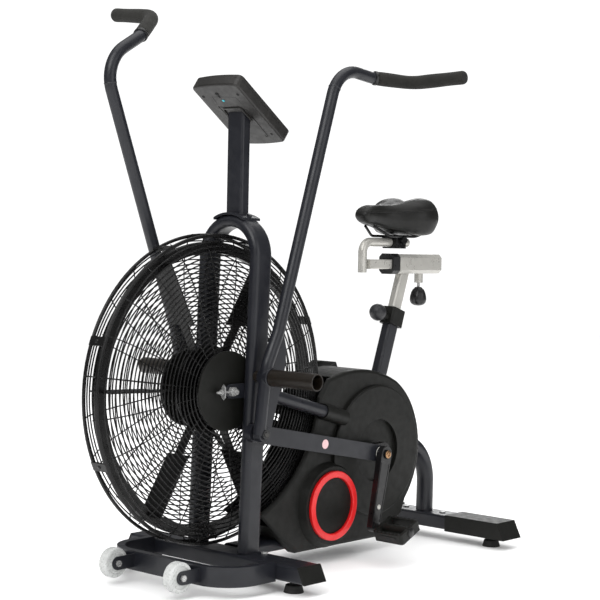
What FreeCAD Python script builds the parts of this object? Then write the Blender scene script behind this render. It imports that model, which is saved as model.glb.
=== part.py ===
import FreeCAD, Part
import math
import os

# Air bike: a fan in a wire cage at the front, driven by pedals and by two swinging arms.
# Units are millimetres. X points forward, Y to the rider's left, Z up, floor at Z = 0.
# X values below are measured from the fan's axle; save() moves them to the middle of the length.

V = FreeCAD.Vector
AXLE_TO_MIDDLE = 248.5
X_DIR, Y_DIR, Z_DIR = V(1, 0, 0), V(0, 1, 0), V(0, 0, 1)

# Fan and cage
FAN_Z = 430.0
CAGE_R = 350.0
RIM_IN, RIM_OUT = 16.0, 24.0
CAGE_PROFILE = [(86, 58), (250, 54), (300, 46), (330, 34), (346, 21)]
WIRE = 3.0
RING_STEP = 16.0
SPOKES = 24
HUB_COVER_R = 89.0
FAN_BLADES = 6
BLADE_IN_R, BLADE_OUT_R = 165.0, 318.0
BLADE_HALF_W = 33.0
DISC_R, NECK_HALF_W = 98.0, 12.0
RIM_RING = (305.0, 330.0, 7.0)

# Frame
FRONT_X, REAR_X = -53.0, -808.0
BEAM_W, BEAM_LOW, BEAM_TOP = 72.0, 28.0, 64.0
FRONT_HALF, REAR_HALF = 264.0, 256.0
END_SLANT = 18.0
WALL = 2.5
LEG_Y, LEG_DEEP, LEG_WIDE = 80.0, 56.0, 28.0
ARCH_Z = 728.0
HOOP_LEAN = 1.9
STAY_Y, STAY_R = 76.0, 15.0
STAY_FRONT, STAY_REAR = (-88.0, 425.0), (-372.0, 347.6)
FOOT_R, FRONT_FOOT_Y, REAR_FOOT_Y = 22.5, 224.0, 216.0
WHEEL = dict(x=182.0, y=103.0, z=47.6, r=33.3, half=12.0)

# Crank and drive
CRANK_X, CRANK_Z = -519.0, 254.0
THROW = 39.0
PEDAL_ARM, PEDAL_ARM_LEAN = 175.0, 12.0
WEB_Y = (76.0, 94.0)
ROD_Y = (97.0, 113.0)
CRANK_ARM_Y = (117.0, 133.0)
JACK_X, JACK_Z = -344.0, 138.0
CRANK_PULLEY_R, JACK_SMALL_R, JACK_LARGE_R, FAN_PULLEY_R = 80.0, 30.0, 75.0, 26.0
CRANK_BELT_Y, FAN_BELT_Y = 44.0, -43.0
BELT_W, BELT_T = 12.0, 4.0

# Arms
PIVOT_X, PIVOT_Z = -58.0, 462.0
SWING = 19.2
LOWER_ARM, LOWER_LEAN = 126.0, 8.0
ARM_Y = (119.0, 141.0)
UPPER_R = 14.0
GRIP_R = 16.5
# Handle points: distance up the arm, distance back from it, sideways position
HANDLE = [(60, -2, 130), (738, -26, 129), (764, 92, 129), (791, 188, 173), (803, 200, 311)]
PEG_Y = (145.0, 276.0)

# Console: middle of its top and bottom edges
CONSOLE_TOP, CONSOLE_BOTTOM = (-9.0, 0.0, 1119.0), (-171.0, 0.0, 1003.0)
CONSOLE_HALF = 72.0
POST_X = -84.0

# Seat
SEAT_LEAN = 18.8
SEAT_AXIS_X, SEAT_AXIS_Z = -607.0, 438.0
SEAT_TUBE_TOP, PIN_Z, PIN_R = 592.0, 578.0, 4.9
SLIDE = dict(front=-653.0, rear=-827.0, low=687.0, top=737.0, half=23.0)
RAIL = dict(front=-541.0, rear=-820.0, low=699.0, top=723.0, half=18.0)
PILLAR_X, PILLAR_R, PILLAR_Z = -531.0, 11.0, 766.0


def save(name, shape):
    """Write one sub-part, moved so that the origin is under the middle of the length."""
    moved = shape.copy()
    moved.translate(V(AXLE_TO_MIDDLE, 0, 0))
    moved.exportStep("parts/" + name + ".step")


def box(x, y, z):
    """Box from pairs of low and high limits."""
    return Part.makeBox(x[1] - x[0], y[1] - y[0], z[1] - z[0], V(x[0], y[0], z[0]))


def rod_y(x, z, radius, y):
    """Cylinder along Y between the two limits in y."""
    return Part.makeCylinder(radius, y[1] - y[0], V(x, y[0], z), Y_DIR)


def ring_y(x, z, outer, inner, y):
    return rod_y(x, z, outer, y).cut(rod_y(x, z, inner, (y[0] - 1, y[1] + 1)))


def bar(start, end, radius):
    """Round bar between two points."""
    along = V(*end) - V(*start)
    return Part.makeCylinder(radius, along.Length, V(*start), along)


def fuse(shapes):
    return shapes[0].multiFuse(shapes[1:]).removeSplitter()


def group(shapes):
    return Part.makeCompound(shapes)


def mirrored(shape):
    return shape.mirror(V(0, 0, 0), Y_DIR)


def both_sides(shape):
    return group([shape, mirrored(shape)])


def turned(shape, x, z, degrees):
    """Copy turned about an axis along Y; positive tips the top forward."""
    copy = shape.copy()
    copy.rotate(V(x, 0, z), Y_DIR, degrees)
    return copy


def prism_xz(points, y):
    """Polygon of (x, z) points, extruded between the two limits in y."""
    corners = [V(px, y[0], pz) for px, pz in points]
    face = Part.Face(Part.makePolygon(corners + corners[:1]))
    return face.extrude(V(0, y[1] - y[0], 0))


def link_bar(a, b, width_a, width_b, y):
    """Flat bar with round ends between two (x, z) points."""
    ax, az = a
    bx, bz = b
    length = math.hypot(bx - ax, bz - az)
    nx, nz = -(bz - az) / length, (bx - ax) / length
    ra, rb = width_a / 2, width_b / 2
    sides = [(ax + nx * ra, az + nz * ra), (bx + nx * rb, bz + nz * rb),
             (bx - nx * rb, bz - nz * rb), (ax - nx * ra, az - nz * ra)]
    return fuse([prism_xz(sides, y), rod_y(ax, az, ra, y), rod_y(bx, bz, rb, y)])


def filleted_path(points, radii):
    """Wire of straight runs joined by tangent arcs; one radius for each inner point."""
    edges = []
    last = points[0]
    for before, corner, after, radius in zip(points, points[1:], points[2:], radii):
        into = (corner - before).normalize()
        out = (after - corner).normalize()
        turn = math.acos(max(-1.0, min(1.0, into.dot(out))))
        reach = radius * math.tan(turn / 2)
        start, end = corner - into * reach, corner + out * reach
        toward = (out - into).normalize()
        middle = corner + toward * (radius / math.cos(turn / 2) - radius)
        edges.append(Part.LineSegment(last, start).toShape())
        edges.append(Part.Arc(start, middle, end).toShape())
        last = end
    edges.append(Part.LineSegment(last, points[-1]).toShape())
    return Part.Wire(edges)


def round_tube(points, radii, radius, bore=0.0):
    """Bent round tube; open at both ends if it has a bore."""
    path = filleted_path(points, radii) if radii else Part.makePolygon(points)
    along = points[1] - points[0]
    solids = []
    for r in (radius, bore):
        if r > 0:
            profile = Part.Wire([Part.makeCircle(r, points[0], along)])
            solids.append(path.makePipeShell([profile], True, False))
    return solids[0].cut(solids[1]) if bore > 0 else solids[0]


def oval_wire(centre, u, v, width, height, corner):
    """Rounded rectangle in the plane of the unit vectors u and v."""
    hw, hh = width / 2 - corner, height / 2 - corner
    edges = []
    spots = [(hw, hh, 0), (-hw, hh, 90), (-hw, -hh, 180), (hw, -hh, 270)]

    def point(cu, cv, angle):
        a = math.radians(angle)
        return centre + u * (cu + corner * math.cos(a)) + v * (cv + corner * math.sin(a))
    for (cu, cv, start), (nu, nv, next_start) in zip(spots, spots[1:] + spots[:1]):
        arc = Part.Arc(point(cu, cv, start), point(cu, cv, start + 45), point(cu, cv, start + 90))
        edges.append(arc.toShape())
        a, b = point(cu, cv, start + 90), point(nu, nv, start + 90)
        if (b - a).Length > 0.01:
            edges.append(Part.LineSegment(a, b).toShape())
    return Part.Wire(edges)


def oval_tube(path, centre, u, v, width, height, corner, wall=WALL):
    """Rounded rectangular tube, open at both ends, swept along a wire."""
    outer = path.makePipeShell([oval_wire(centre, u, v, width, height, corner)], True, False)
    inner_wire = oval_wire(centre, u, v, width - 2 * wall, height - 2 * wall, corner - wall)
    return outer.cut(path.makePipeShell([inner_wire], True, False))


def hex_y(x, z, across, y):
    """Hexagonal nut or bolt head along Y."""
    r = across / math.sqrt(3)
    points = [(x + r * math.cos(math.radians(60 * i)), z + r * math.sin(math.radians(60 * i)))
              for i in range(6)]
    return prism_xz(points, y)


def dome_z(x, y, z, radius, height):
    """Low round bolt head standing on a face at height z."""
    head = Part.makeCylinder(radius, height, V(x, y, z))
    return head.makeFillet(height * 0.6, [head.Edges[0]])


# ---------------------------------------------------------------- frame

def hoop_x(z):
    return FRONT_X - 4 - (z - BEAM_TOP) * math.tan(math.radians(HOOP_LEAN))


def stabilizer(x, half):
    """Box beam along Y whose ends slant outward to the bottom."""
    def slug(inset):
        low, top = BEAM_LOW + inset, BEAM_TOP - inset
        wide = half + END_SLANT
        ends = [V(x - BEAM_W / 2 + inset, s * w, z) for s, w, z in
                ((-1, wide, low), (-1, half, top), (1, half, top), (1, wide, low))]
        face = Part.Face(Part.makePolygon(ends + ends[:1]))
        return face.extrude(V(BEAM_W - 2 * inset, 0, 0))
    outer = slug(0.0)
    long_edges = [e for e in outer.Edges if abs(e.tangentAt(e.FirstParameter).y) > 0.9]
    outer = outer.makeFillet(6.0, long_edges)
    inside = box((x - BEAM_W / 2 + WALL, x + BEAM_W / 2 - WALL), (-half - 40, half + 40),
                 (BEAM_LOW + WALL, BEAM_TOP - WALL))
    return outer.cut(inside)


def end_cap(x, half, sleeve):
    """Plug that closes a stabilizer's left end; sleeve is how far it reaches in over the tube."""
    slope = END_SLANT / (BEAM_TOP - BEAM_LOW)
    grow = 3.0

    def y_at(z, out):
        return half + (BEAM_TOP - z) * slope + out
    low, top = BEAM_LOW - (grow if sleeve else 0), BEAM_TOP + (grow if sleeve else 0)
    side = BEAM_W / 2 + (grow if sleeve else 0)
    inner = half - sleeve
    if sleeve:
        outline = [(inner, low), (inner, top), (y_at(top, 4), top), (y_at(low, 4), low)]
    else:
        outline = [(y_at(low, 0.1), low), (y_at(top, 0.1), top), (y_at(top, 5), top), (y_at(low, 5), low)]
    corners = [V(x - side, y, z) for y, z in outline]
    cap = Part.Face(Part.makePolygon(corners + corners[:1])).extrude(V(2 * side, 0, 0))
    if sleeve:
        hole = [V(x - BEAM_W / 2, y, z) for y, z in
                ((inner - 5, BEAM_LOW), (inner - 5, BEAM_TOP), (half + 0.1, BEAM_TOP),
                 (half + END_SLANT + 0.1, BEAM_LOW))]
        cap = cap.cut(Part.Face(Part.makePolygon(hole + hole[:1])).extrude(V(BEAM_W, 0, 0)))
    return cap


def levelling_foot(x, y, top):
    """Tapered pad on a short threaded stem that reaches the beam's underside at height top."""
    pad = Part.makeCone(FOOT_R, FOOT_R - 4.5, 17, V(x, y, 0))
    pad = pad.makeFillet(3.0, [pad.Edges[0]])
    nut = Part.makeCylinder(9, 4, V(x, y, 17))
    stem = Part.makeCylinder(5, top - 21, V(x, y, 21))
    return fuse([pad, nut, stem])


def make_base():
    save("front_stabilizer", stabilizer(FRONT_X, FRONT_HALF))
    save("rear_stabilizer", stabilizer(REAR_X, REAR_HALF))
    front_cap, rear_cap = end_cap(FRONT_X, FRONT_HALF, 0), end_cap(REAR_X, REAR_HALF, 160)
    save("end_caps", group([both_sides(front_cap), both_sides(rear_cap)]))
    feet = [levelling_foot(x, side * y, top) for side in (1, -1)
            for x, y, top in ((FRONT_X, FRONT_FOOT_Y, BEAM_LOW), (REAR_X, REAR_FOOT_Y, BEAM_LOW - 3))]
    save("levelling_feet", group(feet))
    path = filleted_path([V(FRONT_X - BEAM_W / 2, 0, 53), V(-452, 0, 53), V(CRANK_X, 0, CRANK_Z - 20)], [60])
    beam = oval_tube(path, path.Vertexes[0].Point, Y_DIR, Z_DIR, 60, 30, 13)
    shell = rod_y(CRANK_X, CRANK_Z, 25, (-34, 34))
    bore = rod_y(CRANK_X, CRANK_Z, 20, (-35, 35))
    post = box((JACK_X - 22, JACK_X + 22), (-25, 25), (67, JACK_Z))
    jack_shell = rod_y(JACK_X, JACK_Z, 24, (-28, 28))
    jack_bore = rod_y(JACK_X, JACK_Z, 17, (-40, 40))
    frame = fuse([beam.cut(shell), shell, post, jack_shell]).cut(bore).cut(jack_bore)
    save("main_beam", frame)


def make_wheel_bar():
    low, top, thick = BEAM_LOW - 3, BEAM_TOP + 4, 18.0
    start = V(FRONT_X + BEAM_W / 2, -194, low)
    front = 124.0
    points = [start, V(front, -194, low), V(front, 194, low), V(start.x, 194, low)]
    path = filleted_path(points, [80, 80])
    across = (points[1] - points[0]).normalize().cross(Z_DIR)

    def ribbon(inset):
        half, z0, z1 = thick / 2 - inset, low + inset, top - inset
        corners = [start + across * s + V(0, 0, z - low) for s, z in
                   ((-half, z0), (half, z0), (half, z1), (-half, z1))]
        return path.makePipeShell([Part.makePolygon(corners + corners[:1])], True, False)
    bar_tube = ribbon(0).cut(ribbon(WALL)).cut(box((-60, start.x), (-260, 260), (0, 90)))
    w = WHEEL
    forks, axles = [], []
    for side in (1, -1):
        y = side * w["y"]
        for cheek in (y - w["half"] - 4.5, y + w["half"] + 1.5):
            plate = box((front + thick / 2 - 1, w["x"]), (cheek, cheek + 3), (w["z"] - 15, w["z"] + 15))
            forks.append(fuse([plate, rod_y(w["x"], w["z"], 15, (cheek, cheek + 3))]))
        reach = w["half"] + 4.5
        shaft = rod_y(w["x"], w["z"], 4, (y - reach, y + reach))
        heads = [hex_y(w["x"], w["z"], 13, (y + reach, y + reach + 5)),
                 hex_y(w["x"], w["z"], 13, (y - reach - 5, y - reach))]
        axles.append(fuse([shaft] + heads))
        tread = rod_y(w["x"], w["z"], w["r"], (y - w["half"], y + w["half"]))
        tread = tread.makeFillet(5.0, [tread.Edges[0], tread.Edges[2]])
        name = "transport_wheel_left" if side > 0 else "transport_wheel_right"
        save(name, tread.cut(rod_y(w["x"], w["z"], 4.05, (y - 20, y + 20))))
    welded = fuse([bar_tube] + forks).cut(rod_y(w["x"], w["z"], 4, (-200, 200)))
    save("wheel_bar", welded)
    base_bolts = [dome_z(FRONT_X - 24, side * (LEG_Y + 32), BEAM_TOP, 8, 4) for side in (1, -1)]
    base_bolts += [dome_z(REAR_X, side * 60, BEAM_TOP, 8, 4) for side in (1, -1)]
    save("frame_bolts", group(axles + base_bolts))


def make_hoop():
    """Inverted U that straddles the fan and leans back a little."""
    foot = BEAM_TOP
    outer_arc = [V(0, LEG_Y, ARCH_Z), V(0, 0, ARCH_Z + LEG_Y), V(0, -LEG_Y, ARCH_Z)]
    path = Part.Wire([Part.LineSegment(V(0, LEG_Y, foot), outer_arc[0]).toShape(),
                      Part.Arc(*outer_arc).toShape(),
                      Part.LineSegment(outer_arc[2], V(0, -LEG_Y, foot)).toShape()])
    tube = oval_tube(path, V(0, LEG_Y, foot), X_DIR, Y_DIR, LEG_DEEP, LEG_WIDE, 13)
    tube.translate(V(hoop_x(foot), 0, 0))
    hoop = turned(tube, hoop_x(foot), foot, -HOOP_LEAN)
    bracket_x = hoop_x(FAN_Z) + LEG_DEEP / 2
    arm = box((bracket_x - 1, 0), (68, 74), (FAN_Z - 16, FAN_Z + 16))
    tab = fuse([arm, rod_y(0, FAN_Z, 16, (68, 74))]).cut(rod_y(0, FAN_Z, 6, (60, 80)))
    ground = box((-200, 100), (-150, 150), (0, BEAM_TOP))
    save("hoop_frame", fuse([hoop, tab, mirrored(tab)]).cut(ground))
    axle = rod_y(0, FAN_Z, 6, (-92, 92))
    nuts = [hex_y(0, FAN_Z, 19, limits).cut(rod_y(0, FAN_Z, 6, (-100, 100)))
            for limits in ((74, 84), (63, 68), (-84, -74), (-68, -63))]
    save("fan_axle", group([axle] + nuts))


def make_stays():
    """Two tubes from the hoop back to a cross tube, and a strut on to the seat tube."""
    tubes = []
    for side in (1, -1):
        y = side * STAY_Y
        tubes.append(bar((STAY_FRONT[0], y, STAY_FRONT[1]), (STAY_REAR[0], y, STAY_REAR[1]), STAY_R))
    x, z = STAY_REAR
    cross = rod_y(x, z, 12, (-STAY_Y, STAY_Y))
    strut = box((-552, x), (-12, 12), (z - 12, z + 12))
    seat = turned(box((SEAT_AXIS_X - 19.1, SEAT_AXIS_X + 19.1), (-13, 13), (200, 600)),
                  SEAT_AXIS_X, SEAT_AXIS_Z, -SEAT_LEAN)
    hoop = turned(box((hoop_x(BEAM_TOP) - LEG_DEEP / 2, hoop_x(BEAM_TOP) + LEG_DEEP / 2),
                      (-100, 100), (60, 700)), hoop_x(BEAM_TOP), BEAM_TOP, -HOOP_LEAN)
    foot = box((x - 5, x + 5), (-14, 14), (z, FAN_Z + 6))
    lug = box((x, -CAGE_R - 1), (-14, 14), (FAN_Z - 10, FAN_Z + 6))
    save("frame_stays", fuse(tubes + [cross, strut, foot, lug]).cut(seat).cut(hoop))


def make_rear_frame():
    """Seat tube and the curved tube from the crank shell down to the rear stabilizer."""
    low = CRANK_Z + 22
    path = Part.makePolygon([V(SEAT_AXIS_X, 0, low), V(SEAT_AXIS_X, 0, SEAT_TUBE_TOP)])
    tube = oval_tube(path, V(SEAT_AXIS_X, 0, low), X_DIR, Y_DIR, 38, 26, 6, 2.0)
    tube = tube.cut(bar((SEAT_AXIS_X + 10, 0, PIN_Z), (SEAT_AXIS_X + 30, 0, PIN_Z), PIN_R + 0.3))
    tube = turned(tube, SEAT_AXIS_X, SEAT_AXIS_Z, -SEAT_LEAN)
    save("seat_tube", tube.cut(rod_y(CRANK_X, CRANK_Z, 25.0, (-40, 40))))
    bend = 108.0
    start = V(CRANK_X - 20, 0, CRANK_Z - 4)
    points = [start, V(REAR_X, 0, CRANK_Z - 4), V(REAR_X, 0, BEAM_TOP)]
    rear = round_tube(points, [bend], 22, 19.5)
    seat = turned(box((SEAT_AXIS_X - 19.2, SEAT_AXIS_X + 19.2), (-40, 40), (low, 600)),
                  SEAT_AXIS_X, SEAT_AXIS_Z, -SEAT_LEAN)
    save("rear_tube", rear.cut(rod_y(CRANK_X, CRANK_Z, 25.0, (-40, 40))).cut(seat))


# ---------------------------------------------------------------- fan and cage

def cage_y(radius):
    """Height of the cage's face at a radius, from its profile."""
    for (r0, y0), (r1, y1) in zip(CAGE_PROFILE, CAGE_PROFILE[1:]):
        if radius <= r1:
            return y0 + (y1 - y0) * (radius - r0) / (r1 - r0)
    return CAGE_PROFILE[-1][1]


def cage_half():
    parts = []
    radius = CAGE_PROFILE[0][0] + RING_STEP
    while radius < CAGE_R - 12:
        y = cage_y(radius) - WIRE / 2
        parts.append(ring_y(0, FAN_Z, radius + WIRE / 2, radius - WIRE / 2, (y - WIRE, y)))
        radius += RING_STEP
    hub = CAGE_PROFILE[0][0]
    parts.append(ring_y(0, FAN_Z, hub + 4, hub - 4, (CAGE_PROFILE[0][1] - 4, CAGE_PROFILE[0][1])))
    parts.append(ring_y(0, FAN_Z, CAGE_R, CAGE_R - 7, (RIM_IN, RIM_OUT)))
    outer = list(CAGE_PROFILE)
    inner = [(r - WIRE * 0.3, y - WIRE) for r, y in reversed(CAGE_PROFILE)]
    spoke = [V(r, y, -WIRE / 2) for r, y in outer + inner]
    blank = Part.Face(Part.makePolygon(spoke + spoke[:1])).extrude(V(0, 0, WIRE))
    for i in range(SPOKES):
        copy = blank.copy()
        copy.rotate(V(0, 0, 0), Y_DIR, 360.0 * (i + 0.5) / SPOKES)
        copy.translate(V(0, 0, FAN_Z))
        parts.append(copy)
    return parts[0].multiFuse(parts[1:])


def make_cage():
    half = cage_half()
    reach = math.hypot(JACK_X, JACK_Z - FAN_Z)
    slot = box((-reach, -230), (-90, -30), (FAN_Z - 95, FAN_Z + 95))
    slot.rotate(V(0, 0, FAN_Z), Y_DIR, -math.degrees(math.atan2(FAN_Z - JACK_Z, -JACK_X)))
    save("cage_right", mirrored(half).cut(slot))
    cover = rod_y(0, FAN_Z, HUB_COVER_R, (59, 62))
    cover = fuse([cover, rod_y(0, FAN_Z, 60, (50, 62))])
    cover = cover.cut(rod_y(0, FAN_Z, 57, (47, 59))).cut(rod_y(0, FAN_Z, 6, (40, 70)))
    save("hub_covers", both_sides(cover))
    clips = []
    for i in range(8):
        clip = box((-12, 12), (-RIM_IN, RIM_IN), (CAGE_R - 6, CAGE_R - 1))
        clip.rotate(V(0, 0, 0), Y_DIR, 45.0 * i + 20)
        clip.translate(V(0, 0, FAN_Z))
        clips.append(clip)
    save("cage_left", group([half] + clips))


def make_fan():
    hub = ring_y(0, FAN_Z, 32, 14, (-33, 33))
    disc = ring_y(0, FAN_Z, DISC_R, 30, (-2, 2))
    hub = fuse([hub, disc])
    inner, outer, half = RIM_RING
    blades = [ring_y(0, FAN_Z, outer, inner, (-half, half))]
    for i in range(FAN_BLADES):
        vane = box((-1.5, 1.5), (-BLADE_HALF_W, BLADE_HALF_W), (BLADE_IN_R, BLADE_OUT_R))
        neck = box((-1.5, 1.5), (-NECK_HALF_W, NECK_HALF_W), (DISC_R - 20, BLADE_IN_R + 8))
        blade = fuse([vane, neck]).cut(box((-3, 3), (-2, 2), (0, DISC_R)))
        blade.rotate(V(0, 0, 0), Y_DIR, 28.0 + 360.0 * i / FAN_BLADES)
        blade.translate(V(0, 0, FAN_Z))
        blades.append(blade)
    save("fan_blades", fuse(blades))
    bearings = [ring_y(0, FAN_Z, 14, 6.05, limits) for limits in ((20, 32), (-32, -20))]
    save("fan_hub", group([hub] + bearings))
    y = FAN_BELT_Y
    pulley = ring_y(0, FAN_Z, FAN_PULLEY_R, 8, (y - BELT_W / 2, y + BELT_W / 2))
    sleeve = ring_y(0, FAN_Z, 14, 8, (y + BELT_W / 2, -33))
    save("fan_pulley", fuse([pulley, sleeve]))


# ---------------------------------------------------------------- drive

def open_belt(a, b, y, gap=0.3):
    """Closed belt around two pulleys, each given as x, z, radius."""
    def loop(extra):
        (ax, az, ar), (bx, bz, br) = a, b
        length = math.hypot(bx - ax, bz - az)
        base = math.atan2(bz - az, bx - ax)
        lean = math.acos((ar - br) / length)
        points = []
        for sign in (1, -1):
            angle = base + sign * lean
            cx, cz = math.cos(angle), math.sin(angle)
            points.append(((ax + cx * (ar + extra), az + cz * (ar + extra)),
                           (bx + cx * (br + extra), bz + cz * (br + extra))))
        quad = [points[0][0], points[0][1], points[1][1], points[1][0]]
        limits = (y - BELT_W / 2, y + BELT_W / 2)
        return fuse([prism_xz(quad, limits), rod_y(ax, az, ar + extra, limits),
                     rod_y(bx, bz, br + extra, limits)])
    return loop(gap + BELT_T).cut(loop(gap))


def crank_pin(side):
    """Place of the eccentric pin: the left one points forward, the right one back."""
    return CRANK_X + side * THROW, CRANK_Z


def pedal_point(side):
    x, z = crank_pin(side)
    lean = math.radians(PEDAL_ARM_LEAN)
    return x + side * PEDAL_ARM * math.sin(lean), z - side * PEDAL_ARM * math.cos(lean)


def placed(shape, side):
    return shape if side > 0 else mirrored(shape)


def make_crank():
    axle = rod_y(CRANK_X, CRANK_Z, 10, (-76, 76))
    bearings = [ring_y(CRANK_X, CRANK_Z, 20, 10.05, limits) for limits in ((20, 34), (-34, -20))]
    bearings += [ring_y(JACK_X, JACK_Z, 17, 8.05, limits) for limits in ((16, 28), (-28, -16))]
    save("shaft_bearings", group(bearings))
    y = CRANK_BELT_Y
    wheel = ring_y(CRANK_X, CRANK_Z, CRANK_PULLEY_R, 10, (y - BELT_W / 2, y + BELT_W / 2))
    for i in range(6):
        angle = math.radians(60 * i + 30)
        wheel = wheel.cut(rod_y(CRANK_X + 46 * math.cos(angle), CRANK_Z + 46 * math.sin(angle), 15, (0, 90)))
    save("crank_pulley", wheel)
    webs, pins = [], []
    for side, name in ((1, "left"), (-1, "right")):
        pin, pedal = crank_pin(side), pedal_point(side)
        web = link_bar((CRANK_X, CRANK_Z), pin, 44, 40, WEB_Y).cut(rod_y(CRANK_X, CRANK_Z, 10, (70, 76)))
        webs.append(placed(web, side))
        pins.append(placed(rod_y(pin[0], pin[1], 10, (WEB_Y[1], CRANK_ARM_Y[0])), side))
        arm = link_bar(pin, pedal, 38, 28, CRANK_ARM_Y)
        spindle = fuse([rod_y(*pedal, 8, (CRANK_ARM_Y[1], CRANK_ARM_Y[1] + 6)),
                     rod_y(*pedal, 6, (CRANK_ARM_Y[1] + 6, 236))])
        save("crank_arm_" + name, placed(group([arm, spindle]), side))
        cap = rod_y(pin[0], pin[1], 11, (CRANK_ARM_Y[1], CRANK_ARM_Y[1] + 4))
        pins.append(placed(cap, side))
        save("pedal_" + name, placed(pedal_body(pedal), side))
        connecting_rod(pin, side, name)
    save("crank_axle", group([axle] + webs + pins))


def pedal_body(pedal):
    """Platform pedal, nose down: a barrel on the axle inside a frame with rounded walls."""
    x, z = pedal
    y0, y1, deep, high, wall = 154.0, 240.0, 37.0, 12.5, 8.0
    outer = box((x - deep, x + deep), (y0, y1), (z - high, z + high))
    outer = outer.makeFillet(7.0, [e for e in outer.Edges if abs(e.tangentAt(0).z) > 0.9])
    inner = box((x - deep + wall, x + deep - wall), (y0 + wall, y1 - wall), (z - 20, z + 20))
    body = fuse([outer.cut(inner), rod_y(x, z, 12, (y0, y1))])
    return turned(body.cut(rod_y(x, z, 6.05, (y0 - 5, 236.5))), x, z, 25)


def lower_end(side):
    """Place of the rod's front pin, on the arm's lower end, at rest."""
    lean = math.radians(LOWER_LEAN - (0 if side > 0 else 2 * SWING))
    return PIVOT_X + LOWER_ARM * math.sin(lean), PIVOT_Z - LOWER_ARM * math.cos(lean)


def connecting_rod(pin, side, name):
    front = lower_end(side)
    rod = link_bar(pin, front, 40, 40, ROD_Y).cut(rod_y(pin[0], pin[1], 17, (90, 120)))
    rod = rod.cut(rod_y(front[0], front[1], 9, (90, 120)))
    rings = [ring_y(pin[0], pin[1], 17, 10.05, ROD_Y), ring_y(front[0], front[1], 9, 5, ROD_Y)]
    save("connecting_rod_" + name, placed(group([rod] + rings), side))


def make_jackshaft():
    shaft = rod_y(JACK_X, JACK_Z, 8, (-51, 52))
    half = BELT_W / 2
    small = ring_y(JACK_X, JACK_Z, JACK_SMALL_R, 8, (CRANK_BELT_Y - half, CRANK_BELT_Y + half))
    large = ring_y(JACK_X, JACK_Z, JACK_LARGE_R, 8, (FAN_BELT_Y - half, FAN_BELT_Y + half))
    save("jackshaft", group([shaft, small, large]))
    crank = (CRANK_X, CRANK_Z, CRANK_PULLEY_R)
    save("crank_belt", open_belt(crank, (JACK_X, JACK_Z, JACK_SMALL_R), CRANK_BELT_Y))
    save("fan_belt", open_belt((JACK_X, JACK_Z, JACK_LARGE_R), (0, FAN_Z, FAN_PULLEY_R), FAN_BELT_Y))


# ---------------------------------------------------------------- arms and pegs

def make_arms():
    pegs = []
    for side, name in ((1, "left"), (-1, "right")):
        lean = -SWING if side > 0 else SWING
        top = (PIVOT_X + 4, PIVOT_Z + 104)
        pivot = (PIVOT_X, PIVOT_Z)
        low = lower_end(side)
        upper = turned(link_bar(pivot, top, 40, 38, ARM_Y), PIVOT_X, PIVOT_Z, lean)
        lower = fuse([upper, link_bar(pivot, low, 42, 36, ARM_Y)])
        lower = lower.cut(rod_y(*pivot, 17, (100, 160))).cut(rod_y(*low, 6, (100, 160)))
        points = [V(PIVOT_X - back, y, PIVOT_Z + up) for up, back, y in HANDLE]
        tube = turned(round_tube(points, [80, 40, 45], UPPER_R, 11.5), PIVOT_X, PIVOT_Z, lean)
        along = (points[1] - points[0]).normalize()
        socket = bar(tuple(points[0]), tuple(points[0] + along * 80), UPPER_R)
        lower = lower.cut(turned(socket, PIVOT_X, PIVOT_Z, lean))
        save("arm_" + name, placed(group([lower, tube]), side))
        grip_points = [points[2] + (points[3] - points[2]) * 0.10, points[3], points[4]]
        grip = round_tube(grip_points, [45], GRIP_R, UPPER_R)
        cap = bar(tuple(points[4]), tuple(points[4] + (points[4] - points[3]).normalize() * 5), GRIP_R)
        save("grip_" + name, placed(turned(fuse([grip, cap]), PIVOT_X, PIVOT_Z, lean), side))
        bush = fuse([ring_y(*pivot, 17, 12.05, (115, 144)), ring_y(*pivot, 20, 12.05, (115, 118.8)),
                     ring_y(*pivot, 20, 12.05, (141.2, 144))])
        bolt = fuse([rod_y(*low, 6, ARM_Y), rod_y(*low, 11, (ARM_Y[1], ARM_Y[1] + 5))])
        save("arm_fittings_" + name, placed(group([bush, bolt]), side))
        pegs.append(placed(rod_y(*pivot, 12, (LEG_Y + LEG_WIDE / 2, 165)), side))
        peg = ring_y(*pivot, 19, 16.5, PEG_Y)
        plug = ring_y(*pivot, 16.5, 12, (PEG_Y[0], 165))
        pegs.append(placed(fuse([peg, plug]), side))
    save("foot_pegs", group(pegs))


# ---------------------------------------------------------------- cover

def cover_outline():
    """Side view of the cover: a long front arc that follows the cage, and a round back."""
    front_r = 312.0

    def on_arc(degrees):
        a = math.radians(degrees)
        return V(front_r * math.cos(a), 0, FAN_Z + front_r * math.sin(a))
    toe, nose = on_arc(249), on_arc(186)
    shoulder, crown, back_top = V(-342, 0, 438), V(-462, 0, 456), V(-606, 0, 420)
    back, heel = V(-700, 0, 268), V(-650, 0, 120)
    edges = [Part.Arc(toe, on_arc(218), nose), Part.LineSegment(nose, shoulder),
             Part.Arc(shoulder, crown, back_top), Part.Arc(back_top, back, heel),
             Part.LineSegment(heel, V(-634, 0, 82)), Part.LineSegment(V(-634, 0, 82), V(-560, 0, 34)),
             Part.LineSegment(V(-560, 0, 34), V(-240, 0, 34)), Part.LineSegment(V(-240, 0, 34), toe)]
    return Part.Wire([edge.toShape() for edge in edges])


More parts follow.
